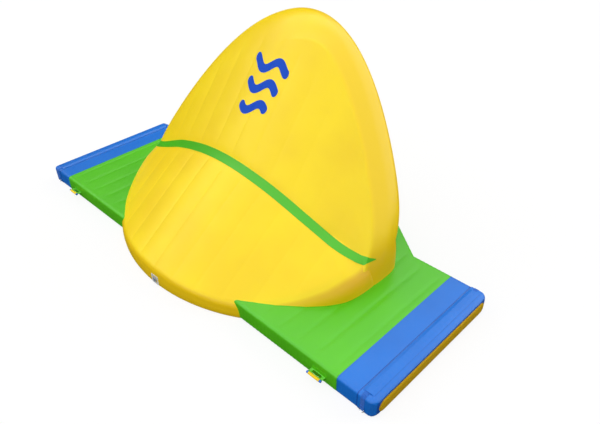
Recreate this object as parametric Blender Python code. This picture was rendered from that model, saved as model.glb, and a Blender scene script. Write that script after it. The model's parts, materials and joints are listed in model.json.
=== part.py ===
"""Inflatable water park obstacle: a walking deck with a leaning leaf-shaped wall folded up from a low ramp.

Metres, +Z up. X runs along the deck, Y across it, with the climbing side at -Y.
The origin is on the underside, in the middle of the walking deck.
"""

import math

import bmesh
import bpy
import numpy as np
from mathutils import Matrix, Vector

for old_object in list(bpy.data.objects):
    bpy.data.objects.remove(old_object, do_unlink=True)

# Clearance that touching pieces keep
GAP = 0.0003

# Coated fabric colours and their roughness, and the bright metal of the rings and springs
GREEN = ("5ACD28", 0.45)
YELLOW = ("FADC1E", 0.42)
BLUE = ("2376DE", 0.42)
STEEL = ("C8CCD0", 0.25, 1.0)
PLASTIC = ("D8DCE0", 0.35)

# Walking deck
DECK_LENGTH = 6.344
DECK_WIDTH = 2.04
DECK_THICKNESS = 0.229
DECK_EDGE_RADIUS = 0.036
END_BAND_LENGTH = 0.486
FLARE_START_X = 2.146
FLARE_END_X = 1.10
FLARE_REACH_Y = 1.80

# Low ramp: plan ellipse of its rim, and the sloping top z = RAMP_PEAK + RAMP_SLOPE y - RAMP_CURVE x^2
RIM_HALF_LENGTH = 2.115
RIM_HALF_WIDTH = 1.775
RIM_CENTRE_Y = 0.43
RAMP_PEAK = 1.20
RAMP_SLOPE = 0.72
RAMP_CURVE = 0.185
RAMP_RIM_RADIUS = 0.06
RAMP_SIDE_RADIUS = 0.16
SHOULDER_Y = 0.20
SHOULDER_FALL = 1.3
SHOULDER_DEPTH = 0.28

# Leaning wall: its front face is y = WALL_LEAN z - WALL_SET + WALL_CURVE x^2,
# inside the arch z = WALL_TOP - ARCH_CURVE x^2
WALL_LEAN = 0.80
WALL_SET = 0.98
WALL_CURVE = 0.17
WALL_TOP = 2.684
ARCH_CURVE = 0.433
WALL_HALF_WIDTH = 2.145
WALL_DEPTH_AT_FOOT = 0.604
WALL_DEPTH_TAPER = 0.026
WALL_RIM_SHARE = 0.145
HEEL_TOP = 0.616
HEEL_SLOPE = 0.80
RIM_ROUNDNESS = 2.6

# Green strip welded over the fold between ramp and wall
STRIP_WIDTH = 0.115
STRIP_THICKNESS = 0.003
STRIP_LIFT = 0.0020
STRIP_STATIONS = 49
STRIP_END_X = 1.95
STRIP_TILT = math.radians(43)

# Blue ends: a proud cuff, a tunnel for the joining strap and a yellow panel on the end face
CUFF_START_X = 2.950
CUFF_PROUD = 0.005
END_FACE_X = 3.160
END_ROUNDING = 0.035
CORNER_ROUNDING = 0.09
PANEL_HEIGHT = 0.165
PANEL_HALF_LENGTH = 0.95
SLEEVE_WIDTH = 0.10
SLEEVE_HEIGHT = 0.0065
SLEEVE_HALF_LENGTH = 0.95
JOIN_X = 3.015

# Webbing and rings
WEB_WIDTH = 0.050
WEB_THICKNESS = 0.0025
MOORING_WEB_WIDTH = 0.040
RING_WIRE = 0.005
RING_INSIDE_WIDTH = 0.055
RING_INSIDE_DEPTH = 0.038
JOIN_RING_Z = 0.060
MOORING_X = 0.60
MOORING_Z = 0.125
MOORING_PATCH_RADIUS = 0.060
PATCH_THICKNESS = 0.004

# Grab handles on the deck's long sides
HANDLE_X = 2.447
HANDLE_Z = 0.100
HANDLE_LENGTH = 0.190
HANDLE_REACH = 0.0547
HANDLE_PLATE_HEIGHT = 0.090
HANDLE_FLAP_THICKNESS = 0.005
FINGER_SLOT_LENGTH = 0.120
FINGER_SLOT_DEPTH = 0.034
GRIP_RADIUS = 0.016
GRIP_BORE_RADIUS = 0.009
GRIP_LENGTH = 0.150
CORE_RADIUS = 0.0087
CORE_LENGTH = 0.196
KNOB_RADIUS = 0.014

# Inflation valves, in their own frame: +Z out of the chamber, z = 0 on its skin
FLANGE_RADIUS = 0.052
FLANGE_THICKNESS = 0.0045
BARREL_RADIUS = 0.0265
BARREL_DEPTH = 0.034
BORE_RADIUS = 0.020
COLLAR_RADIUS = 0.0285
COLLAR_TOP = 0.012
WEB_TOP = -0.010
WEB_BOTTOM = -0.014
STEM_RADIUS = 0.004
SEAT_RADIUS = 0.014
LOWER_BORE_RADIUS = 0.018
AIR_HOLE_RADIUS = 0.004
AIR_HOLE_PITCH_RADIUS = 0.0125
POPPET_RADIUS = 0.0165
POPPET_THICKNESS = 0.0055
PLUNGER_TRAVEL = 0.008
POCKET_DEPTH = BARREL_DEPTH + POPPET_THICKNESS + PLUNGER_TRAVEL + 0.0045
BUTTON_RADIUS = 0.010
BUTTON_UNDERSIDE = 0.0030
BUTTON_TOP = 0.0065
SPRING_TURNS = 3
SPRING_STEPS = 12
SPRING_RADIUS = 0.0072
SPRING_WIRE_RADIUS = 0.0007
CAP_RADIUS = 0.0335
CAP_TOP = 0.0185
CAP_CEILING = 0.015
CAP_BAR_HEIGHT = 0.008
VALVE_SIDES = 22
ROUND_SIDES = 16
GRIP_SIDES = 14
RAMP_VALVE_X = 0.04
RAMP_VALVE_Z = 0.082
DECK_VALVE_X = -2.245
WALL_VALVE_Z = 0.95


def material(name, hex_colour, roughness, metallic=0.0):
    """One Principled material from an sRGB hex colour."""
    made = bpy.data.materials.new(name)
    made.use_nodes = True
    shader = made.node_tree.nodes["Principled BSDF"]
    srgb = [int(hex_colour[i : i + 2], 16) / 255 for i in (0, 2, 4)]
    linear = [c / 12.92 if c <= 0.04045 else ((c + 0.055) / 1.055) ** 2.4 for c in srgb]
    shader.inputs["Base Color"].default_value = (*linear, 1.0)
    shader.inputs["Roughness"].default_value = roughness
    shader.inputs["Metallic"].default_value = metallic
    made.diffuse_color = (*linear, 1.0)
    return made


def add_object(name, bm, look, crease_degrees=35.0):
    """Turns a bmesh into a named object, with its faces out and its round parts shaded smooth."""
    bmesh.ops.remove_doubles(bm, verts=bm.verts, dist=1e-6)
    bmesh.ops.recalc_face_normals(bm, faces=bm.faces)
    if bm.calc_volume(signed=True) < 0:
        bmesh.ops.reverse_faces(bm, faces=bm.faces)
    mesh = bpy.data.meshes.new(name)
    bm.to_mesh(mesh)
    bm.free()
    mesh.shade_smooth()
    mesh.set_sharp_from_angle(angle=math.radians(crease_degrees))
    made = bpy.data.objects.new(name, mesh)
    bpy.context.scene.collection.objects.link(made)
    if look:
        mesh.materials.append(material(f"{name}_finish", *look))
    return made


def cutter(name, bm):
    """A helper solid that only Booleans see."""
    made = add_object(name, bm, None)
    made.hide_render = True
    made.display_type = "WIRE"
    return made


def cut(target, tool, operation="DIFFERENCE"):
    modifier = target.modifiers.new(f"{operation.lower()}_{tool.name}", "BOOLEAN")
    modifier.operation = operation
    modifier.object = tool


def loft(rings):
    """Skins closed rings of equal count, capping the ends. A ring of one point closes to it."""
    bm = bmesh.new()
    rows = [[bm.verts.new(point) for point in ring] for ring in rings]
    for lower, upper in zip(rows, rows[1:]):
        count = max(len(lower), len(upper))
        for i in range(count):
            j = (i + 1) % count
            if len(upper) == 1:
                bm.faces.new((lower[i], lower[j], upper[0]))
            elif len(lower) == 1:
                bm.faces.new((lower[0], upper[j], upper[i]))
            else:
                bm.faces.new((lower[i], lower[j], upper[j], upper[i]))
    for row in (rows[0], rows[-1]):
        if len(row) > 1:
            bm.faces.new(row)
    return bm


def sheets(front, back):
    """Closes two fans of points that share their rim. Rows run from the fan's point out to the rim.

    Each cell is two triangles on the same diagonal, so that a shifted copy stays parallel to its original.
    """
    bm = bmesh.new()
    fans = [[[bm.verts.new(point) for point in row] for row in fan] for fan in (front, back)]
    for fan in fans:
        for inner, outer in zip(fan, fan[1:]):
            for i in range(len(inner) - 1):
                bm.faces.new((inner[i], inner[i + 1], outer[i + 1]))
                bm.faces.new((inner[i], outer[i + 1], outer[i]))
    for side in (0, -1):
        for i in range(len(front) - 1):
            near, far = fans[0], fans[1]
            bm.faces.new((near[i][side], near[i + 1][side], far[i + 1][side], far[i][side]))
    return bm


def revolve(profile, sides=VALVE_SIDES):
    """Turns a closed profile of (radius, height) points about +Z."""
    bm = bmesh.new()
    verts = [bm.verts.new((radius, 0.0, height)) for radius, height in profile]
    edges = [bm.edges.new((a, b)) for a, b in zip(verts, verts[1:] + verts[:1])]
    bmesh.ops.spin(
        bm, geom=verts + edges, axis=(0, 0, 1), cent=(0, 0, 0), angle=math.tau, steps=sides, use_merge=True
    )
    bmesh.ops.remove_doubles(bm, verts=bm.verts, dist=1e-6)
    on_axis = [e for e in bm.edges if all(math.hypot(v.co.x, v.co.y) < 1e-6 for v in e.verts)]
    bmesh.ops.delete(bm, geom=on_axis, context="EDGES")
    return bm


def extrude_outline(outline, start, end):
    """Extrudes a closed outline of 3-D points from one offset vector to another."""
    outline = [Vector(point) for point in outline]
    return loft([[point + Vector(offset) for point in outline] for offset in (start, end)])


def arc(centre, radius, from_degrees, to_degrees, steps):
    """Points (u, v) along an arc."""
    return [
        (
            centre[0] + radius * math.cos(math.radians(a)),
            centre[1] + radius * math.sin(math.radians(a)),
        )
        for a in np.linspace(from_degrees, to_degrees, steps + 1)
    ]


def rounded_rectangle(u_low, u_high, v_low, v_high, radius, steps=3):
    """Outline (u, v) of a rectangle with round corners, anticlockwise from its lower right corner."""
    return (
        arc((u_high - radius, v_low + radius), radius, -90, 0, steps)
        + arc((u_high - radius, v_high - radius), radius, 0, 90, steps)
        + arc((u_low + radius, v_high - radius), radius, 90, 180, steps)
        + arc((u_low + radius, v_low + radius), radius, 180, 270, steps)
    )


def ribbon(path, width, thickness):
    """A strap that runs along a path of (y, z) points, with its width along X."""
    points = np.array(path)
    along = np.gradient(points, axis=0)
    along /= np.linalg.norm(along, axis=1)[:, None]
    normal = np.stack([-along[:, 1], along[:, 0]], axis=1)
    rings = []
    for point, side in zip(points, normal):
        inner = point - side * thickness / 2
        outer = point + side * thickness / 2
        corners = ((-1, inner), (1, inner), (1, outer), (-1, outer))
        rings.append([(edge * width / 2, *place) for edge, place in corners])
    return loft(rings)


def wire_loop(path, radius, sides=6):
    """A closed loop of round wire in the XZ plane."""
    points = np.array(path)
    along = np.roll(points, -1, axis=0) - np.roll(points, 1, axis=0)
    along /= np.linalg.norm(along, axis=1)[:, None]
    bm = bmesh.new()
    rows = []
    for (x, z), (dx, dz) in zip(points, along):
        ring = []
        for turn in np.arange(sides) * math.tau / sides:
            out = radius * math.cos(turn)
            ring.append(bm.verts.new((x - dz * out, radius * math.sin(turn), z + dx * out)))
        rows.append(ring)
    for lower, upper in zip(rows, rows[1:] + rows[:1]):
        for i in range(sides):
            j = (i + 1) % sides
            bm.faces.new((lower[i], lower[j], upper[j], upper[i]))
    return bm


# The deck: one flat chamber whose far side flares out behind the wall, to hold it up on the water
END_SECTION_START = DECK_LENGTH / 2 - END_BAND_LENGTH
DECK_HALF = DECK_WIDTH / 2


def deck_chamber():
    half = END_SECTION_START - GAP
    outline = [
        (-half, -DECK_HALF, 0),
        (half, -DECK_HALF, 0),
        (half, DECK_HALF, 0),
        (FLARE_START_X, DECK_HALF, 0),
        (FLARE_END_X, FLARE_REACH_Y, 0),
        (-FLARE_END_X, FLARE_REACH_Y, 0),
        (-FLARE_START_X, DECK_HALF, 0),
        (-half, DECK_HALF, 0),
    ]
    bm = extrude_outline(outline, (0, 0, 0), (0, 0, DECK_THICKNESS))
    level = [e for e in bm.edges if abs(e.verts[0].co.z - e.verts[1].co.z) < 1e-6]
    long_edges = [e for e in level if any(abs(v.co.x) < half - 1e-4 for v in e.verts) or
                  abs(e.verts[0].co.x - e.verts[1].co.x) > 1e-4]
    bmesh.ops.bevel(bm, geom=long_edges, offset=DECK_EDGE_RADIUS, segments=4, profile=0.5, affect="EDGES")
    return add_object("deck_chamber", bm, GREEN)


# The ramp and the wall: two curved faces ruled in planes across the deck, which meet in a fold
def wall_share(x, z):
    """How far a point of the leaf is from the middle of its foot, 0, towards its outline, 1."""
    rise = z - DECK_THICKNESS
    reach = np.hypot(x, rise) + 1e-9
    sine = np.abs(x) / reach
    cosine = rise / reach
    height = WALL_TOP - DECK_THICKNESS
    to_arch = np.where(
        sine > 1e-4,
        (-cosine + np.sqrt(cosine**2 + 4 * ARCH_CURVE * sine**2 * height))
        / (2 * ARCH_CURVE * np.maximum(sine, 1e-4) ** 2),
        height,
    )
    to_side = WALL_HALF_WIDTH / np.maximum(sine, 1e-4)
    return reach / (to_arch**-24.0 + to_side**-24.0) ** (-1 / 24)


def wall_rim_distance(angle):
    """Distance from the middle of the foot to the outline, at an angle from straight up."""
    return 1 / wall_share(math.sin(angle), DECK_THICKNESS + math.cos(angle))


def wall_faces(x, z):
    """(front y, back y) of the leaf, drawn together round its rim, with its back upright down at the foot."""
    heel = HEEL_SLOPE * np.maximum(HEEL_TOP - z, 0)
    depth = WALL_DEPTH_AT_FOOT - WALL_DEPTH_TAPER * z + heel
    middle = WALL_LEAN * z - WALL_SET + WALL_CURVE * x**2 + depth / 2
    into_rim = np.clip((wall_share(x, z) - 1 + WALL_RIM_SHARE) / WALL_RIM_SHARE, 0, 1)
    half = depth / 2 * (1 - into_rim**RIM_ROUNDNESS) ** (1 / RIM_ROUNDNESS)
    return middle - half, middle + half


def ramp_height(x, y):
    """Height of the ramp's top, rounded down towards its rim, and falling again behind its shoulders."""
    share = np.hypot(x / RIM_HALF_LENGTH, (y - RIM_CENTRE_Y) / RIM_HALF_WIDTH)
    sideways = np.abs(x) / RIM_HALF_LENGTH / np.maximum(share, 1e-6)
    radius = RAMP_RIM_RADIUS + (RAMP_SIDE_RADIUS - RAMP_RIM_RADIUS) * sideways**6
    into_rim = np.clip((share - 1) * RIM_HALF_LENGTH / radius + 1, 0, 1)
    behind = np.maximum(y - SHOULDER_Y, 0) * sideways**6
    fall = SHOULDER_FALL * np.minimum(behind, SHOULDER_DEPTH)
    top = RAMP_PEAK + RAMP_SLOPE * (y - behind) - fall - RAMP_CURVE * x**2
    return np.maximum(top - radius * (1 - np.sqrt(1 - into_rim**2)), DECK_THICKNESS / 4)


def wall_fan(shares, angles, shift=0.0):
    """Front and back sheets of the leaf as fans round the middle of its foot."""
    fronts, backs = [], []
    for share in shares:
        front, back = [], []
        for angle in angles:
            reach = share * wall_rim_distance(angle)
            x = reach * math.sin(angle)
            z = DECK_THICKNESS + GAP + reach * math.cos(angle)
            near, far = wall_faces(x, z)
            front.append((x, float(near) + shift, z))
            back.append((x, float(far), z))
        fronts.append(front)
        backs.append(back)
    return fronts, backs


WALL_ANGLES = np.radians(np.linspace(-90, 90, 41))
WALL_SHARES = [0, 0.25, 0.5, 0.75, 0.90, 0.93, 0.96, 0.98, 0.993, 1.0]


def wall_chamber():
    front, back = wall_fan(WALL_SHARES, WALL_ANGLES)
    return add_object("wall_chamber", sheets(front, back), YELLOW)


def wall_front_cutter():
    """Everything behind the wall's front face, which the ramp leaves free."""
    front, _ = wall_fan(WALL_SHARES + [1.4], WALL_ANGLES, shift=-GAP)
    behind = 3.0
    back = [[(x, behind, z) for x, _, z in row] for row in front]
    bm = sheets(front, back)
    rim = [(front[-1][i], back[-1][i]) for i in range(len(WALL_ANGLES))]
    verts = [[bm.verts.new(point) for point in pair] for pair in rim]
    for lower, upper in zip(verts, verts[1:]):
        bm.faces.new((lower[0], upper[0], upper[1], lower[1]))
    return cutter("wall_front_cutter", bm)


def ramp_chamber():
    turns = (np.arange(64) + 0.5) * math.tau / 64 + math.pi * 1.5
    across, along = np.cos(turns), np.sin(turns)
    shares = [1.0, 0.997, 0.988, 0.975, 0.955, 0.93, 0.80, 0.60, 0.35]
    rings = []
    for level in (0.0, None):
        x, y = RIM_HALF_LENGTH * across, RIM_CENTRE_Y + RIM_HALF_WIDTH * along
        z = ramp_height(x, y) if level is None else np.full_like(x, level)
        rings.append(np.stack([x, y, z], axis=1))
    for share in shares[1:]:
        x, y = RIM_HALF_LENGTH * share * across, RIM_CENTRE_Y + RIM_HALF_WIDTH * share * along
        rings.append(np.stack([x, y, ramp_height(x, y)], axis=1))
    rings.append([(0.0, RIM_CENTRE_Y, float(ramp_height(0.0, RIM_CENTRE_Y)))])
    ramp = add_object("ramp_chamber", loft(rings), YELLOW)
    reach = RIM_HALF_LENGTH + 0.4
    footprint = rounded_rectangle(-reach, reach, -DECK_HALF - GAP, 3.0, 0.001, 1)
    footprint = [(x, y, 0) for x, y in footprint]
    deck_room = extrude_outline(footprint, (0, 0, -0.1), (0, 0, DECK_THICKNESS + GAP))
    cut(ramp, cutter("ramp_deck_cutter", deck_room))
    cut(ramp, wall_front_cutter())
    return ramp


def fold_point(x):
    """(y, z) where, going up the wall's front at this x, the ramp's top is first met."""
    z = np.linspace(DECK_THICKNESS + 0.05, WALL_TOP - ARCH_CURVE * x**2 - 0.02, 2000)
    y = wall_faces(x, z)[0]
    above = ramp_height(x, y) - z
    first = int(np.argmax(above < 0))
    part = above[first - 1] / (above[first - 1] - above[first])
    return tuple(float(v[first - 1] + part * (v[first] - v[first - 1])) for v in (y, z))


def crease_strip():
    """A band that lies half on the ramp and half on the wall, with round ends."""
    rings = []
    for turn in np.linspace(-90, 90, STRIP_STATIONS):
        x = STRIP_END_X * math.sin(math.radians(turn))
        narrowing = min(1.0, math.sqrt(max(0.0, (STRIP_END_X - abs(x)) * 2 / STRIP_WIDTH)))
        half = max(0.006, narrowing * STRIP_WIDTH / 2)
        y, z = fold_point(x)
        ramp_y = y - half * math.cos(math.atan(RAMP_SLOPE))
        ramp_z = float(ramp_height(x, ramp_y))
        wall_z = z + half / math.hypot(1, WALL_LEAN)
        wall_y = float(wall_faces(x, wall_z)[0])
        lift = Vector((0, -math.sin(STRIP_TILT), math.cos(STRIP_TILT)))
        skin = ((x, ramp_y, ramp_z), (x, y, z), (x, wall_y, wall_z))
        below = [Vector(point) + lift * STRIP_LIFT for point in skin]
        above = [point + lift * STRIP_THICKNESS for point in below]
        rings.append(below + above[::-1])
    return add_object("crease_strip", loft(rings), ("46B914", 0.45))


# The blue ends, built once for the +X end and mirrored to the other by the sign
def end_section(side, label):
    top = DECK_THICKNESS
    stations = [
        (END_SECTION_START, 0.0, 0.0),
        (CUFF_START_X - 0.002, 0.0, 0.0),
        (CUFF_START_X + 0.002, CUFF_PROUD, 0.0),
        (END_FACE_X - CORNER_ROUNDING, CUFF_PROUD, 0.0),
    ]
    for turn in (22.5, 45, 67.5, 90):
        swing = math.radians(turn)
        stations.append((
            END_FACE_X - CORNER_ROUNDING + CORNER_ROUNDING * math.sin(swing),
            CUFF_PROUD - CORNER_ROUNDING * (1 - math.cos(swing)),
            END_ROUNDING * (1 - math.cos(swing)),
        ))
    rings = []
    for x, widen, lower in stations:
        proud = max(widen, 0.0)
        outline = rounded_rectangle(
            -DECK_HALF - widen, DECK_HALF + widen, lower, top + proud - lower, DECK_EDGE_RADIUS, 4
        )
        rings.append([(side * x, y, z) for y, z in outline])
    return add_object(f"end_section_{label}", loft(rings), BLUE)


def end_panel(side, label):
    radius = PANEL_HEIGHT / 2
    middle = DECK_THICKNESS / 2
    straight = PANEL_HALF_LENGTH - radius
    outline = arc((straight, middle), radius, -90, 90, 8) + arc((-straight, middle), radius, 90, 270, 8)
    inner_x = side * (END_FACE_X + GAP)
    outer_x = side * DECK_LENGTH / 2
    bm = extrude_outline([(0, y, z) for y, z in outline], (inner_x, 0, 0), (outer_x, 0, 0))
    rim = [e for e in bm.edges if all(abs(v.co.x - outer_x) < 1e-6 for v in e.verts)]
    bmesh.ops.bevel(bm, geom=rim, offset=0.010, segments=2, profile=0.5, affect="EDGES")
    return add_object(f"end_panel_{label}", bm, ("E8C81A", 0.45))


def strap_sleeve(side, label):
    """A shallow tunnel welded across the cuff, open underneath and at both ends for the strap."""
    base = DECK_THICKNESS + CUFF_PROUD + GAP
    wide, room = SLEEVE_WIDTH / 2, WEB_WIDTH / 2 + 0.003
    roof = base + SLEEVE_HEIGHT
    ceiling = base + WEB_THICKNESS + 0.001
    outline = [
        (-wide, base), (-room, base), (-room, ceiling), (room, ceiling), (room, base), (wide, base),
        (wide, base + 0.002), (room + 0.008, roof), (-room - 0.008, roof), (-wide, base + 0.002),
    ]
    placed = [(side * JOIN_X + x, 0, z) for x, z in outline]
    bm = extrude_outline(placed, (0, -SLEEVE_HALF_LENGTH, 0), (0, SLEEVE_HALF_LENGTH, 0))
    return add_object(f"strap_sleeve_{label}", bm, ("2F7FE4", 0.42))


RING_Y = DECK_HALF + CUFF_PROUD + 2 * GAP + 0.0043 + WEB_THICKNESS
BAR_WRAP = RING_WIRE / 2 + GAP + WEB_THICKNESS / 2
EYE_WRAP = RING_WIRE / 2 + 0.0008 + WEB_THICKNESS / 2


def strap_side(out):
    """Strap path (y, z) from the top of the deck down one side and round the ring's bar; out is -1 or 1."""
    clear = GAP + WEB_THICKNESS / 2
    corner_y = DECK_HALF + CUFF_PROUD - DECK_EDGE_RADIUS
    corner_z = DECK_THICKNESS + CUFF_PROUD - DECK_EDGE_RADIUS
    over = arc((corner_y, corner_z), DECK_EDGE_RADIUS + clear + GAP, 90, 0, 4)
    eye = arc((RING_Y, JOIN_RING_Z), EYE_WRAP, 180, 360, 8)
    lie_y = over[-1][0]
    down = [(lie_y, 0.100), (RING_Y - EYE_WRAP, JOIN_RING_Z + 0.012)]
    sewn = WEB_THICKNESS + 2 * GAP
    sewn_low_y = lie_y + (RING_Y - EYE_WRAP - lie_y) * 0.8 + sewn
    back_up = [(sewn_low_y, JOIN_RING_Z + 0.018), (lie_y + sewn, 0.100)]
    path = over + down + eye + back_up
    return [(out * y, z) for y, z in path]


def joining_strap(side, label):
    near = strap_side(-1)
    far = strap_side(1)
    bm = ribbon(near[::-1] + far, WEB_WIDTH, WEB_THICKNESS)
    bmesh.ops.translate(bm, verts=bm.verts, vec=(side * JOIN_X, 0, 0))
    return add_object(f"joining_strap_{label}", bm, ("3C8AEA", 0.7))


def ring_mesh():
    """A D-shaped ring that hangs from its straight bar, which lies on the X axis."""
    half = (RING_INSIDE_WIDTH + RING_WIRE) / 2
    depth = RING_INSIDE_DEPTH + RING_WIRE
    bend = 0.006
    path = [(x, 0.0) for x in np.linspace(-half + bend, half - bend, 5)][1:-1]
    path += arc((half - bend, -bend), bend, 90, 0, 3)
    path += [
        (half * math.cos(a) ** 0.8, -bend - (depth - bend) * math.sin(a) ** 0.9)
        for a in np.radians(np.linspace(12, 90, 6))
    ]
    path += [(-x, z) for x, z in path[::-1][1:] if z < 0.0]
    path.append((-half + bend, 0.0))
    return wire_loop(path, RING_WIRE / 2)


def hanging_ring(name, x, y, z):
    ring = add_object(name, ring_mesh(), STEEL, 60)
    ring.location = (x, y, z)
    return ring


# Mooring points on the flare's rear edge: a welded patch, a webbing bridge over the bar, and the ring
def mooring_point(side, label):
    face = FLARE_REACH_Y + GAP
    disc = arc((0, 0), MOORING_PATCH_RADIUS, 0, 345, 23)
    centre = Vector((side * MOORING_X, face, MOORING_Z))
    bm = extrude_outline([centre + Vector((x, 0, z)) for x, z in disc], (0, 0, 0), (0, PATCH_THICKNESS, 0))
    add_object(f"mooring_patch_{label}", bm, GREEN)
    skin = face + PATCH_THICKNESS
    bar_y = skin + GAP + RING_WIRE / 2 + 0.0002
    lie = skin + GAP + WEB_THICKNESS / 2
    hump = arc((bar_y, MOORING_Z), BAR_WRAP, 60, -60, 6)
    path = [(lie, MOORING_Z + 0.045), (lie, MOORING_Z + 0.012)] + hump
    path += [(lie, MOORING_Z - 0.012), (lie, MOORING_Z - 0.028)]
    bm = ribbon(path, MOORING_WEB_WIDTH, WEB_THICKNESS)
    bmesh.ops.translate(bm, verts=bm.verts, vec=(side * MOORING_X, 0, 0))
    add_object(f"mooring_webbing_{label}", bm, ("3FAE18", 0.8))
    hanging_ring(f"mooring_ring_{label}", side * MOORING_X, bar_y, MOORING_Z)


# Grab handles: a welded flap with a finger slot, and a padded grip on a knobbed core along its outer edge
def grab_handle(side, out, label):
    """side is the end of the deck along X, and out is -1 on the near side and 1 on the far side."""
    centre = Vector((side * HANDLE_X, out * (DECK_HALF + GAP), HANDLE_Z))
    half = HANDLE_LENGTH / 2
    plate = rounded_rectangle(-half, half, -HANDLE_PLATE_HEIGHT / 2, HANDLE_PLATE_HEIGHT / 2, 0.018, 3)
    plate_points = [centre + Vector((x, 0, z + 0.010)) for x, z in plate]
    flap = add_object(
        f"handle_flap_{label}",
        extrude_outline(plate_points, (0, 0, 0), (0, out * PATCH_THICKNESS, 0)),
        GREEN,
    )
    tongue = [(half, 0.001), (half, HANDLE_REACH), (-half, HANDLE_REACH), (-half, 0.001)]
    lower = -HANDLE_FLAP_THICKNESS / 2
    tongue_points = [centre + Vector((x, out * y, 0)) for x, y in tongue]
    tongue_solid = cutter(
        f"handle_tongue_{label}",
        extrude_outline(tongue_points, (0, 0, lower), (0, 0, -lower)),
    )
    slot_radius = FINGER_SLOT_DEPTH / 2
    slot_half = FINGER_SLOT_LENGTH / 2 - slot_radius
    slot_y = HANDLE_REACH - 0.008 - slot_radius
    slot = arc((slot_half, slot_y), slot_radius, -90, 90, 6)
    slot += arc((-slot_half, slot_y), slot_radius, 90, 270, 6)
    slot_points = [centre + Vector((x, out * y, 0)) for x, y in slot]
    slot_solid = cutter(f"handle_slot_{label}", extrude_outline(slot_points, (0, 0, -0.05), (0, 0, 0.05)))
    cut(flap, tongue_solid, "UNION")
    cut(flap, slot_solid)

    along_x = Matrix.Rotation(math.pi / 2, 4, "Y")
    axis_y = HANDLE_REACH + GAP + GRIP_RADIUS
    place = Matrix.Translation(centre + Vector((0, out * axis_y, 0))) @ along_x
    tube = revolve([
        (GRIP_BORE_RADIUS, -GRIP_LENGTH / 2), (GRIP_RADIUS - 0.003, -GRIP_LENGTH / 2),
        (GRIP_RADIUS, -GRIP_LENGTH / 2 + 0.003), (GRIP_RADIUS, GRIP_LENGTH / 2 - 0.003),
        (GRIP_RADIUS - 0.003, GRIP_LENGTH / 2), (GRIP_BORE_RADIUS, GRIP_LENGTH / 2),
    ], GRIP_SIDES)
    bmesh.ops.transform(tube, matrix=place, verts=tube.verts)
    add_object(f"handle_grip_{label}", tube, YELLOW)
    end, neck = CORE_LENGTH / 2, GRIP_LENGTH / 2 + GAP
    core = revolve([
        (0, -end), (KNOB_RADIUS - 0.003, -end), (KNOB_RADIUS, -end + 0.003), (KNOB_RADIUS, -neck),
        (CORE_RADIUS, -neck), (CORE_RADIUS, neck), (KNOB_RADIUS, neck), (KNOB_RADIUS, end - 0.003),
        (KNOB_RADIUS - 0.003, end), (0, end),
    ], GRIP_SIDES)
    bmesh.ops.transform(core, matrix=place, verts=core.verts)
    add_object(f"handle_core_{label}", core, BLUE)


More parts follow.
